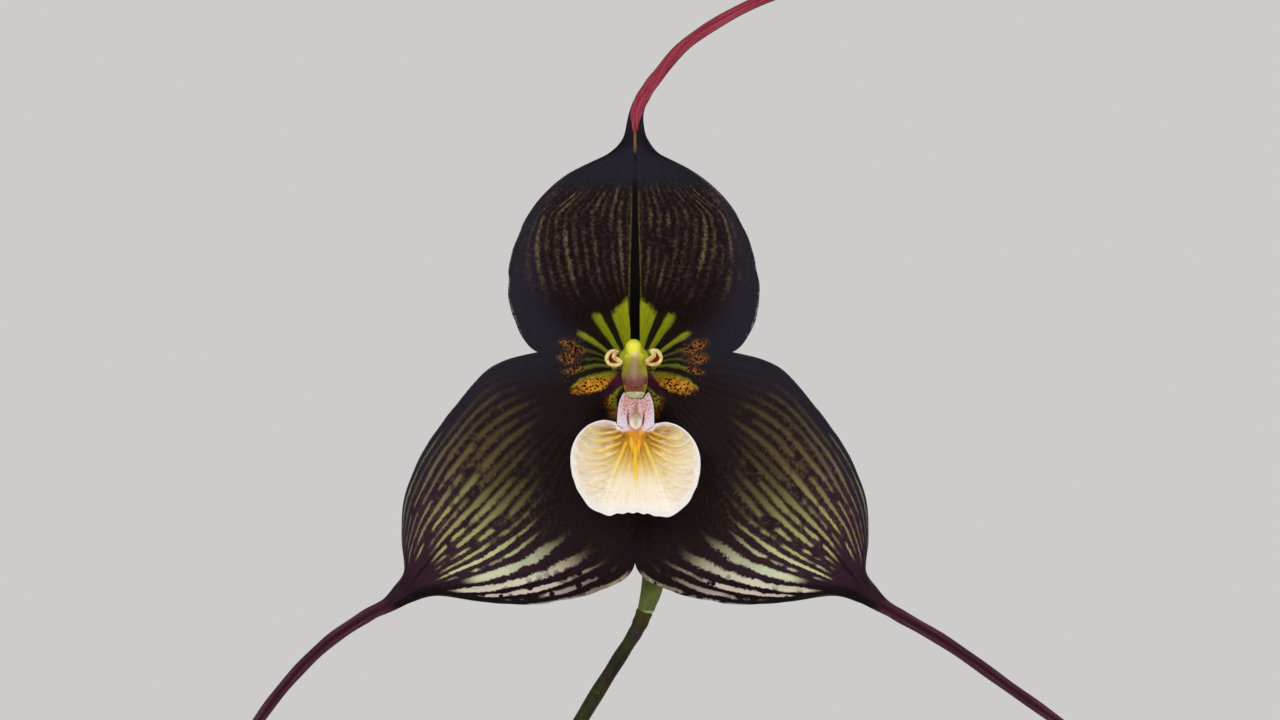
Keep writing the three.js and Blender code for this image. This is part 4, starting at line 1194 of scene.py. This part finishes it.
# height, half width, front and back, from the column's top down to its foot
COLUMN_STATIONS = [
    (1.68, 0.3, 1.2, 1.9), (1.56, 0.7, 1.0, 2.8), (1.15, 1.1, 0.96, 3.6), (0.8, 1.26, 1.15, 4.2),
    (0.35, 1.36, 1.65, 4.9), (-0.3, 1.42, 2.25, 6.4), (-0.9, 1.52, 2.75, 7.1), (-1.35, 1.58, 3.05, 7.2),
    (-1.85, 1.5, 3.35, 7.1), (-2.4, 1.36, 3.7, 6.9), (-2.75, 1.05, 4.0, 6.5), (-2.92, 0.5, 4.5, 5.8),
]

fleshy = Finish("column_flesh", Roughness=0.4, Specular_IOR_Level=0.35)
spot, x, _, z = fleshy.millimetres_from(FLOWER)
aside = abs(x - COLUMN_X)
up = z + 3.0
core_edge = up.ramp([
    (0, 1.1), (1, 1.05), (2, 0.86), (3, 0.66), (3.7, 0.54), (4.3, 0.46), (4.6, 0.4),
], span=5)
off_core = aside - core_edge
flesh = up.ramp([
    (0, "84422a"), (0.4, "8c4640"), (1, "84505a"), (1.5, "9c785e"), (2.1, "a99268"), (3.3, "b29c62"),
    (3.9, "c2b068"), (4.3, "dacd86"), (4.7, "e8de98"),
], span=5)
wing = up.ramp([
    (0, "7a5a24"), (0.6, "6e2c3c"), (1.3, "74343e"), (1.8, "a69a34"), (2.4, "bcbc30"), (4.5, "c4ca2c"),
], span=5)
flesh.wash(off_core.swell(-0.12, 0.2), wing)
flesh.wash(spot.cloud(3.0, 4, 0.6).swell(0.45, 0.7) * 0.25, "c8b880")
fleshy.colour(flesh)
fleshy.relief(spot.cloud(7.0, 3), 0.05, 0.6)

ledge_skin = Finish("foot_ledge_skin", Roughness=0.45, Specular_IOR_Level=0.35)
spot, x, y, _ = ledge_skin.millimetres_from(FLOWER)
dappled = spot.cloud(5.0, 4, 0.65)
pale_green = dappled.ramp([(0.3, "8c9a6a"), (0.5, "a9b288"), (0.7, "c8cba6")])
pale_green.wash(abs(x).swell(0.75, 1.3), "c2b854")
flank = mix(abs(x + 0.05).swell(0.95, 1.25), "8a4c34", "8f8a2a")
pale_green.wash(y.swell(3.1, 3.5), flank)
ledge_skin.colour(pale_green)
ledge_skin.relief(dappled, 0.08, 0.6)

bodies, worn = [], []
level, half, front, back = smooth(COLUMN_STATIONS, np.linspace(0, 1, 90)).T
turn = once_round(COLUMN_SIDES)
u = np.cos(turn)
hull = np.sqrt(np.clip(1 - u**2, 0, 1))
bulge = 0.6 * hump(u, 0.48) + 0.4 * hull
middle = front + 0.42 * (back - front)
depth = np.where(
    np.sin(turn) < 0,
    middle[:, None] - np.outer(middle - front, bulge),
    middle[:, None] + np.outer(back - middle, hull),
)
column_rings = rings_of(COLUMN_X + np.outer(half, u), depth, level[:, None])
add_body(skin(column_rings + FLOWER), 0)
# depth, middle height, half height and half width of the foot, from the cup to the ledge's face
foot = smooth([
    (6.6, -1.9, 1.1, 1.4), (5.4, -2.6, 0.9, 1.35), (4.3, -3.2, 0.55, 1.2), (3.4, -3.55, 0.42, 1.08),
    (3.05, -3.6, 0.41, 1.05), (2.97, -3.6, 0.37, 1.0), (2.93, -3.6, 0.28, 0.9),
], np.linspace(0, 1, 60))
around = once_round(FOOT_SIDES)
square_cos = np.sign(np.cos(around)) * np.abs(np.cos(around)) ** 0.5
square_sin = np.sign(np.sin(around)) * np.abs(np.sin(around)) ** 0.5
foot_rings = rings_of(
    0.03 + np.outer(foot[:, 3], square_cos * (1 + 0.19 * square_sin)),
    foot[:, :1],
    foot[:, 1:2] + np.outer(foot[:, 2], square_sin),
)
add_body(skin(foot_rings + FLOWER), 1)
column = make_piece("column_and_foot", gathered(bodies), [fleshy, ledge_skin], worn)
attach(column, "root")
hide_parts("column")


# Anther cap: the small domed lid at the column's tip, bright yellow, with a blunt beak in front
# and a fine seam down its middle.
CAP_CENTRE = np.array([-0.17, 1.98, 2.1])
CAP_SIDES = 56

waxy = Finish("anther_cap_wax", Roughness=0.28, Specular_IOR_Level=0.5)
spot, x, _, z = waxy.millimetres_from(FLOWER + CAP_CENTRE)
up = z.most(z * -0.7)
off_middle = x.hypot(up)
yolk = off_middle.ramp([(0.0, "e8e040"), (0.5, "e0dc2e"), (0.85, "ccd022"), (1.0, "a8b41c")])
yolk.wash(spot.cloud(2.2, 3).swell(0.45, 0.7) * 0.3, "f2ea74")
yolk.wash(z.fade(-1.25, -0.75) * 0.7, "b0b22c")
waxy.colour(yolk)
waxy.relief(spot.cloud(9.0, 3), 0.04, 0.6)

rows = np.linspace(0.02, 0.985, 40) * math.pi
turn = once_round(CAP_SIDES)
ball = rings_of(
    np.outer(np.sin(rows), np.cos(turn)),
    np.outer(np.sin(rows), np.sin(turn)),
    np.cos(rows)[:, None],
)
cap_size = 1 + 0.06 * np.clip(-ball[..., 1], 0, 1) ** 3 - 0.03 * hump(ball[..., 0], 0.07)
cap_size -= 0.06 * rise(0.55, 1, -ball[..., 2])
hood = ball * cap_size[..., None] * [1, 0.92, 1]
hood[..., 2] *= np.where(hood[..., 2] < 0, 1.42, 1)
cap = make_piece("anther_cap_dome", skin(hood + CAP_CENTRE + FLOWER), [waxy])
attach(cap, "root")
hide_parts("anther_cap")


# Petals: a short thick strap on each side of the column, ending in a cup with a rolled cream rim.
# The rim curls in at the top and folds down across the cup to the column as a second lip.
PETAL_CENTRES = {-1: (-2.54, 0.79), 1: (2.26, 0.87)}
PETAL_SIDES = 40
PETAL_RIM = [
    (-0.5, 0.6), (-0.36, 0.78), (-0.05, 0.87), (0.48, 0.7), (0.84, 0), (0.54, -0.64), (-0.07, -0.83),
    (-0.58, -0.74), (-0.96, -0.52),
]
PETAL_FOLD = [
    (-0.3, 0.78), (-0.16, 0.6), (-0.06, 0.36), (-0.12, 0.12), (-0.34, -0.06), (-0.62, -0.24),
    (-0.98, -0.5),
]

petal_skin = Finish("petal_skin", Roughness=0.4, Specular_IOR_Level=0.35)
kind, along = petal_skin.across_along()
spot = petal_skin.where()
flecks = spot.cloud(4000, 4, 0.65)
cream = flecks.ramp([(0.3, "c2a85a"), (0.5, "dcc987"), (0.7, "eadcaa")])
cream.wash(spot.cloud(1600, 2).swell(0.48, 0.6), "c99a50")
cup_colour = along.ramp([
    (0.0, "8f9a4a"), (0.45, "a8aa54"), (0.56, "d8c88c"), (0.68, "cf9a42"), (0.82, "a8561e"),
    (1.0, "7a2c12"),
])
petal_skin.colour(mix(kind.swell(0.4, 0.6), cup_colour, cream))
petal_skin.relief(flecks, 0.05, 0.6)

for side, name, node in [(-1, "petal_on_left", "petal_left"), (1, "petal_on_right", "petal_right")]:
    centre_x, centre_z = PETAL_CENTRES[side]
    # radius, depth, sideways and height of the strap and cup, from the petal's foot to the cup's floor
    strap = smooth([
        (0.36, 6.7, -0.1, -1.15), (0.45, 5.6, -0.05, -0.8), (0.62, 4.6, 0, -0.45), (0.85, 3.6, 0, -0.2),
        (1.0, 2.8, 0, -0.05), (1.0, 2.3, 0, 0), (0.86, 2.1, 0, 0), (0.74, 2.35, 0, 0), (0.6, 2.62, 0, 0),
        (0.32, 2.78, 0, 0), (0.04, 2.8, 0, 0),
    ], np.linspace(0, 1, 70))
    turn = once_round(PETAL_SIDES)
    flat_side = 1 / (1 + np.clip(2.6 * np.cos(turn - (math.pi / 2 + side * 1.09)), 0, None) ** 4) ** 0.25
    cup = rings_of(
        centre_x + side * strap[:, 2:3] + np.outer(strap[:, 0], np.cos(turn) * flat_side),
        strap[:, 1:2],
        centre_z + strap[:, 3:4] + np.outer(strap[:, 0], np.sin(turn) * flat_side),
    )
    bodies = [skin(cup + FLOWER, across=0.0)]
    for route, thick, lift in [(PETAL_RIM, 0.23, 0.0), (PETAL_FOLD, 0.28, 0.12)]:
        shares = np.linspace(0, 1, 70)
        flat = smooth(route, shares)
        path = np.stack([
            centre_x + side * flat[:, 0], 2.08 - lift * np.sin(math.pi * shares), centre_z + flat[:, 1]
        ], axis=1)
        size = thick * (0.35 + 0.65 * rise(0, 0.08, shares)) * (1 + 0.08 * np.sin(shares * 19 + side))
        bodies.append(skin(tube(path + FLOWER, size, sides=20), across=1.0))
    petal = make_piece(name, gathered(bodies), [petal_skin])
    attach(petal, "root")
    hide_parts(node)


# Lip claw: the lilac-pink channelled base of the lip. Its two sides rise to pointed ears beside
# the column's foot, and a tan tongue runs down its middle to a white egg-shaped callus.
CLAW_TOP_Z = -3.27
CLAW_ROWS = 90
CLAW_COLUMNS = 80
CLAW_TOP_HALF = 1.49
CLAW_FOOT_HALF = 2.2
LIP_BASE_Z = -7
LIP_BASE_SAG = 0.9
LIP_BASE_Y = -0.9

speckled = Finish("claw_skin", Roughness=0.38, Specular_IOR_Level=0.4)
across, along = speckled.across_along()
spot = speckled.millimetres_from(FLOWER)[0]
side = across * 2.0 - 1.0
width = abs(side)
fine = spot.cloud(4.5, 4, 0.65)
lilac = fine.ramp([(0.3, "d2bccb"), (0.5, "e0d0dc"), (0.7, "ebe0e8")])
blush = along.fade(0.3, 0.8) * width.fade(0.7, 1.0)
lilac.wash(blush * 0.7, "dca8a2")
near_tongue = width.near(0.28, 0.16, 0.12) * along.near(0.62, 0.26, 0.1)
lilac.wash(near_tongue * 0.5, "dcae96")
pink_dots = spot.cells(3.3).fade(0.3, 0.42)
dotted = pink_dots * (along.fade(0.3, 0.8) * 0.8 + 0.2)
dotted = dotted * width.fade(0.84, 1.0)
lilac.wash(dotted * 0.95, "ae4c56")
tongue_tone = along.ramp([
    (0.0, "d8a99c"), (0.2, "b3846a"), (0.42, "a87c60"), (0.55, "bfa88c"), (0.68, "dcd5c8"),
    (0.84, "ebe4da"),
])
groove = width.fade(0.04, 0.2) * along.near(0.64, 0.16, 0.1) * 0.75
tongue_tone.wash(groove, "b8a07c")
lilac.wash(speckled.mark("tongue"), tongue_tone)
furrow_tone = along.ramp([(0.3, "c08074"), (0.5, "9a5648"), (0.64, "7a3430"), (0.78, "9a4a2c")])
lilac.wash(speckled.mark("furrow"), furrow_tone)
ragged = along + (fine - 0.5) * 0.2
toward_gold = ragged.swell(0.76, 0.92) * width.fade(0.34, 0.5)
toward_gold = toward_gold * (pink_dots * 0.5 + 0.5)
lilac.wash(toward_gold, "e39648")
speckled.colour(lilac)
speckled.relief(spot.cloud(8.0, 3), 0.06, 0.8)

t = np.linspace(0, 1, CLAW_ROWS)[:, None]
s = np.linspace(-1, 1, CLAW_COLUMNS + 1)[None, :]
width = np.abs(s)
half = blend(CLAW_TOP_HALF, CLAW_FOOT_HALF, (1 - np.exp(-4 * t)) / (1 - math.exp(-4)))
ear_drop = 0.78 * sink(0.42, 0.98, width) * (1 - t)
claw_end = LIP_BASE_Z - LIP_BASE_SAG * np.cos(s * math.pi / 2) - 0.3 - 0.08 * s
z = blend(CLAW_TOP_Z - ear_drop, claw_end, t)
x = blend(0.15, 0.06, t) + half * s
spine = blend(2.9, LIP_BASE_Y + 0.12, (t / 0.92) ** 0.9) + 0.7 * rise(0.93, 1, t)
walls = 1.3 * s**2 * (1 - 0.7 * t)
tongue_half = blend(0.1, 0.37, rise(0.36, 0.62, t)) * np.sqrt(1 - np.clip((t - 0.68) / 0.2, 0, 1) ** 2)
tongue = np.clip(1 - (s / np.maximum(tongue_half, 0.01)) ** 2, 0, 1)
tongue_height = blend(0.12, 0.8, rise(0.08, 0.6, t))
furrow_line = 0.38 + 0.06 * np.sin(math.pi * np.clip((t - 0.35) / 0.42, 0, 1))
furrow = hump(width - furrow_line, 0.04) * rise(0.25, 0.6, t) * sink(0.72, 0.84, t)
pebbles = 0.02 * np.sin(31 * x + 3 * np.sin(17 * z)) * np.sin(29 * z + 2 * np.sin(19 * x))
y = spine - walls - tongue_height * np.sqrt(tongue) + 0.36 * furrow + pebbles * (1 - tongue)
lip_edge = 0.25 + 0.75 * (1 - width**8)
claw_front = rings_of(x, y, z)
claw_rear = rings_of(x, spine - walls + (0.7 + 0.3 * walls) * lip_edge, z)
rings = front_and_back(claw_front, claw_rear)
body = skin(rings + FLOWER, across=there_and_back(np.linspace(0, 1, CLAW_COLUMNS + 1)))
marks = {
    "tongue": front_and_back(rise(0.0, 0.35, tongue), 0 * tongue),
    "furrow": front_and_back(np.clip(furrow * 1.2, 0, 1), 0 * furrow),
}
claw = make_piece("lip_claw_channel", body, [speckled], marks=marks)
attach(claw, "root")
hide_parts("lip_claw")


# Lip blade: the cream shell of the lip, hung from the claw. Gill-like ridges leave its golden
# throat downwards and swing out to the sides, and a smooth white rim closes them in.
LIP_ROWS = 380
LIP_COLUMNS = 84
LIP_BASE_HALF = 2.25
LIP_HOLLOW = 2.2
GILL_STEP = 0.93
# the margin from the middle of the lower edge round to the shoulder, as (x, depth, z)
LIP_MARGIN = [
    (0, -4.6, -17.25), (1.7, -4.6, -17.4), (3.4, -4.7, -17.65), (5, -4.9, -17), (6.2, -5.1, -15.75),
    (7.1, -5.2, -14), (7.55, -5, -12.1), (7.5, -4.5, -10.2), (6.8, -3.8, -8.5), (5.5, -3, -7.2),
    (3.8, -2.1, -6.6), (2.3, -1.3, -6.8),
]
# where the main rib stands on each half, as (z, distance from the keel)
MAIN_RIB = [(-16.8, 3.7), (-15.4, 3.4), (-13.5, 2.75), (-11.8, 2.2), (-10.5, 1.6), (-9, 1.06), (-8.6, 1)]

gilled = Finish("lip_blade_skin", Roughness=0.42, Specular_IOR_Level=0.3)
along = gilled.across_along()[1]
spot, x, _, z = gilled.millimetres_from(FLOWER)
fine = spot.cloud(3.0, 4, 0.65)
soft = spot.cloud(0.9, 3) - 0.5
crest = gilled.mark("gill")
# the gold thins out with the reach from the middle of the throat
off_middle = x - 0.08
aside = abs(off_middle)
over = z + 8.6
reach = aside.hypot(over) + soft * 2.0
ridge_tone = reach.ramp([
    (0.8, "e2a01c"), (1.8, "e8b830"), (3, "edcc5c"), (4.5, "efd88c"), (6.2, "f1e0b2"), (8, "f4e8d4"),
], span=10)
furrow_tone = reach.ramp([
    (0.8, "bf8018"), (1.6, "ac7c1e"), (2.8, "caa656"), (4.2, "dcc490"), (5.8, "e5d2b2"), (7.8, "ece0d0"),
], span=10)
# the furrows between the gills take the darker furrow tone: partly their own beige, partly painted shade
# beneath each gill
shell = mix(crest.swell(0.12, 0.7), furrow_tone, ridge_tone)
# on the upper gills the furrow bottoms are washed brown and a dark line runs along each gill's lower
# edge: painted shade beneath the gills, over their own orange-brown
upper = z.swell(-10.4, -9.2) * aside.near(2.7, 1.5, 0.7)
shell.wash(upper * crest.fade(0.0, 0.16) * 0.6, "8f601c")
shell.wash(upper * crest.swell(0.4, 0.8) * 0.4, "dca03a")
gill_shadow_line = upper * crest.near(0.16, 0.04, 0.07) * (aside + soft * 4.0).fade(3.0, 4.4)
shell.wash(gill_shadow_line * 0.75, "6a300e")
outer = z.swell(-10.4, -9.0) * aside.near(5.6, 0.9, 0.5) * crest.fade(0.2, 0.7)
shell.wash(outer * 0.6, "d0cdb2")
peachy = along.near(0.84, 0.08, 0.05) * crest.swell(0.2, 0.6) * soft.swell(-0.1, 0.1)
shell.wash(peachy * 0.5, "edcfae")
lower = z.fade(-15.0, -12.0) * aside.fade(3.4, 5.2)
shell.wash(lower * 0.72, "f5ecd8")
spread = off_middle.maths("ARCTAN2", over * -1.0)
wrinkles = point(spread * 16.0, reach * 0.25).cloud(1.0, 3, 0.6)
shell.wash(wrinkles.swell(0.5, 0.62) * lower * 0.45, "e6cf94")
shell.wash(wrinkles.fade(0.36, 0.46) * lower * 0.4, "e2cfc0")
crimps = point(aside * 0.55, z * 2.8).cloud(1.0, 3, 0.6)
outward = aside.swell(1.6, 3.4) * along.fade(0.86, 0.93)
shell.wash(crimps.swell(0.52, 0.64) * outward * 0.5, "f5eee2")
shell.wash(crimps.fade(0.36, 0.48) * outward * 0.4, "d3b483")
keel_half = (z + 15.0).ramp([(0, 0.1), (2.5, 0.16), (4, 0.2), (5, 0.33)], span=5)
keel_half = keel_half + z.swell(-10.4, -9.0) * 0.2
off_keel = aside - (keel_half + soft * 0.5)
keel = off_keel.fade(-0.04, 0.2) * z.swell(-15.8, -12.0)
shell.wash(keel * 0.85, "f0c424")
# the orange granular tongue in the middle of the throat
tongue_edge = z.fade(-9.0, -7.5) * -0.85 + 1.2
tongue = (aside + soft * 0.8 - tongue_edge).fade(-0.15, 0.2)
tongue = tongue * z.swell(-10.0, -9.0)
grit = spot.cells(5.0).fade(0.24, 0.42)
shell.wash(tongue, mix(grit, "d98a1a", "f2b45a"))
# lilac-white that runs down from the claw and out along the two shoulders
lilac_edge = aside.ramp([
    (0.5, 0.62), (0.8, 0.62), (1.6, 0.9), (2.5, 0.46), (3.35, 0.24), (5, 0.1),
], span=5)
lilac = (z + 7.0 + lilac_edge - soft * 0.3).swell(-0.15, 0.22)
shell.wash(lilac, fine.ramp([(0.3, "e2d3dc"), (0.7, "efe6ec")]))
peppered = lilac * (z + 7.0).fade(-0.9, -0.1) * aside.fade(1.0, 2.2) * grit
shell.wash(peppered * 0.8, "e9a27a")
hem = (z + soft * 1.5).fade(-17.0, -15.4) * 0.75
shell.wash(hem, "f2ece4")
rim = (along + (fine - 0.5) * 0.04).swell(0.915, 0.965)
shell.wash(rim, fine.ramp([(0.3, "dedad5"), (0.7, "e9e6e2")]))
# the pits either side of the orange tongue are darkened brown: painted shade in their hollows
shell.wash(gilled.mark("pit") * 0.55, "944e14")
outside = fine.ramp([(0.3, "e6ddd6"), (0.7, "f4eee6")])
shell.wash(gilled.mark("outside") * along.fade(0.9, 0.96) * 0.8, outside)
gilled.colour(shell)
gilled.roughness(fine.ramp([(0.3, 0.36), (0.7, 0.5)]))
gilled.relief(fine * 0.6 + grit * 0.3, 0.08, 0.6)

s = np.linspace(-1, 1, LIP_ROWS + 1)
t = np.linspace(0, 1, LIP_COLUMNS + 1)
width = np.abs(s)
margin = smooth(LIP_MARGIN, width)
margin[:, 0] *= np.sign(s)
margin[:, 2] += 0.07 * np.sin(70 * s + 3 * np.sin(11 * s)) * sink(0.5, 0.7, width)
round_base = np.sin(s * math.pi / 2)
base = np.stack([
    LIP_BASE_HALF * round_base,
    LIP_BASE_Y + 0.1 - 0.4 * round_base**2,
    LIP_BASE_Z + 0.1 - LIP_BASE_SAG * np.cos(s * math.pi / 2),
], axis=1)
lip_face = blend(base[:, None], margin[:, None], t[None, :, None])
belly = 4 * t * (1 - t)
lip_face[..., 2] -= 0.35 * np.outer(rise(0.45, 0.75, width), belly)
hollow = belly * (1 - 0.5 * t) * rise(0, 0.1, t)
lip_face[..., 1] += LIP_HOLLOW * np.outer(1 - 0.85 * rise(0.8, 1, width), hollow)

# ridges by their place on the face: keel, main rib, low fan between them, and the side gills
aside = np.abs(lip_face[..., 0])
right = lip_face[..., 0] > 0
level = lip_face[..., 2]
ribs = np.array(MAIN_RIB)
outline = np.array(LIP_MARGIN[2:-1])
rib = np.interp(level, ribs[:, 0], ribs[:, 1])
out = np.clip((aside - rib) / (np.interp(level, outline[:, 2], outline[:, 0]) - rib), -1, 1.2)
upturn = blend(0.5, 1.3, rise(-13.5, -9.8, level)) * np.clip((out - 0.4) / 0.5, 0, 1.1) ** 2
hang = level - 1.8 * np.exp(-np.clip(out, 0, 2) / 0.3) - upturn + np.where(right, 0.1 * aside, 0.3)
wander = 0.9 * np.sin(1.7 * level + 2.4 * out + 2 * right) + 0.5 * np.sin(0.9 * level - 1.9 * aside)
gills = (0.5 + 0.5 * np.cos(2 * math.pi * hang / GILL_STEP + wander)) ** 1.8
gills *= rise(0.02, 0.2, out) * sink(0.84, 0.97, out) * rise(-16.3, -14.6, level)
gills *= 1 - rise(0.88, 0.97, t)[None] - 0.75 * rise(-7.9, -7.1, level) * sink(0.88, 0.97, t)[None]
fan = (0.5 + 0.5 * np.cos(6 * math.pi * aside / rib + 0.5 * np.sin(level))) ** 1.2
fan *= sink(0.9, 1.1, aside / rib) * sink(-9.8, -9, level) * blend(0.3, 1, rise(-15.6, -12, level))
main_rib = hump(aside - rib, 0.24) * sink(-9.4, -8.8, level) * rise(-15.6, -13.2, level)
fork = 0.6 * rise(15, 16.5, -level)
keel = hump(aside - fork, 0.2) * rise(8.4, 9, -level) * sink(11.5, 15.6, -level)
pit = np.exp(-(((aside - 1.4) / 0.2) ** 2) - ((level + 8.5 - 0.5 * (aside - 1.4)) / 0.12) ** 2)
creases = np.sin(9 * lip_face[..., 0] + 4 * np.sin(1.3 * level)) * np.sin(7 * level + 3 * aside)
nibs = np.sin(190 * s[:, None] + 3 * np.sin(40 * t[None])) * np.sin(23 * s[:, None] + 1)
relief = np.max([0.4 * gills, 0.16 * fan, 0.36 * main_rib, 0.36 * keel], axis=0)
relief += 0.03 * creases * rise(0.15, 0.3, t)[None] * sink(0.9, 1, t)[None] - 0.22 * pit
relief += 0.07 * nibs * rise(0.8, 0.9, t)[None] * sink(0.95, 1, t)[None] * sink(0.35, 0.6, width)[:, None]
lip_face[..., 1] -= relief
lip_face[..., 1] += 0.3 * rise(0.9, 1, t)[None] ** 2
lip_face[..., 2] -= 0.035 * lip_face[..., 0]
lip_face[..., 0] += 0.06
thick = (0.12 + 0.5 * rise(0, 0.12, t)) * (1 - 0.6 * rise(0.88, 1, t) ** 2)
lip_rear = lip_face.copy()
lip_rear[..., 1] += relief * 0.6 + thick[None]
rings = front_and_back(lip_face, lip_rear)
body = skin(rings + FLOWER, across=(s[:, None] + 1) / 2, along=there_and_back(t))
ridges = np.max([gills, 0.4 * fan, main_rib, keel], axis=0)
marks = {
    "gill": front_and_back(ridges, ridges),
    "pit": front_and_back(pit, 0 * pit),
    "outside": front_and_back(0 * ridges, 0 * ridges + 1),
}
lip = make_piece("lip_blade_shell", body, [gilled], marks=marks)
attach(lip, "root")
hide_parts("lip_blade")


# Floor and light: a plain pale floor, and soft light from large panels in a pale room. The
# camera stands level with the flower and looks at its face, framed as in the photograph.
FLOOR_CORNERS = [(-1.6, -1.6, 0), (1.6, -1.6, 0), (1.6, 1.6, 0), (-1.6, 1.6, 0)]
# the photograph's size and the middle of the flower in it, in pixels from its upper left corner
PHOTO_WIDTH = 1280
PHOTO_HEIGHT = 720
FLOWER_COLUMN = 635
FLOWER_ROW = 365
MM_PER_PIXEL = 0.118
CAMERA_DISTANCE = 450
SENSOR_WIDTH = 36

floor_mesh = bpy.data.meshes.new("floor")
floor_mesh.from_pydata(FLOOR_CORNERS, [], [(0, 1, 2, 3)])
floor = bpy.data.objects.new("floor", floor_mesh)
scene.collection.objects.link(floor)
pale = Finish("pale_floor", Roughness=0.85)
pale.colour(pale.where().cloud(6, 3).ramp([(0.3, "e4e2de"), (0.7, "eae8e4")]))
floor_mesh.materials.append(pale.material)

scene.view_settings.view_transform = "Standard"
pale_room = bpy.data.worlds.new("pale_room")
pale_room.use_nodes = True
backdrop = pale_room.node_tree.nodes["Background"]
backdrop.inputs["Color"].default_value = tint("e9e8e6")
backdrop.inputs["Strength"].default_value = 0.75
scene.world = pale_room


def light_panel(name, place, target, size, power):
    panel = bpy.data.lights.new(name, "AREA")
    panel.shape = "SQUARE"
    panel.size = size
    panel.energy = power
    lamp = bpy.data.objects.new(name, panel)
    lamp.location = place
    lamp.rotation_euler = (Vector(target) - Vector(place)).to_track_quat("-Z", "Y").to_euler()
    scene.collection.objects.link(lamp)


light_panel("key_panel", (-0.7, -1.2, 1.05), (0.02, -0.03, 0.28), 0.7, 9.5)
light_panel("fill_panel", (1.1, -1.0, 0.6), (0.02, -0.03, 0.25), 0.9, 5)
light_panel("back_panel", (0.3, 1.3, 1.2), (0, 0, 0.2), 0.9, 10)

camera = bpy.data.cameras.new("camera")
camera.sensor_width = SENSOR_WIDTH
camera.lens = SENSOR_WIDTH * CAMERA_DISTANCE / (PHOTO_WIDTH * MM_PER_PIXEL)
camera.clip_start = 0.01
camera.clip_end = 50
eye = bpy.data.objects.new("camera", camera)
sideways = (PHOTO_WIDTH / 2 - FLOWER_COLUMN) * MM_PER_PIXEL
upwards = (FLOWER_ROW - PHOTO_HEIGHT / 2) * MM_PER_PIXEL
eye.location = (FLOWER + [sideways, -CAMERA_DISTANCE, upwards]) * MM
eye.rotation_euler = (math.radians(90), 0, 0)
scene.collection.objects.link(eye)
scene.camera = eye
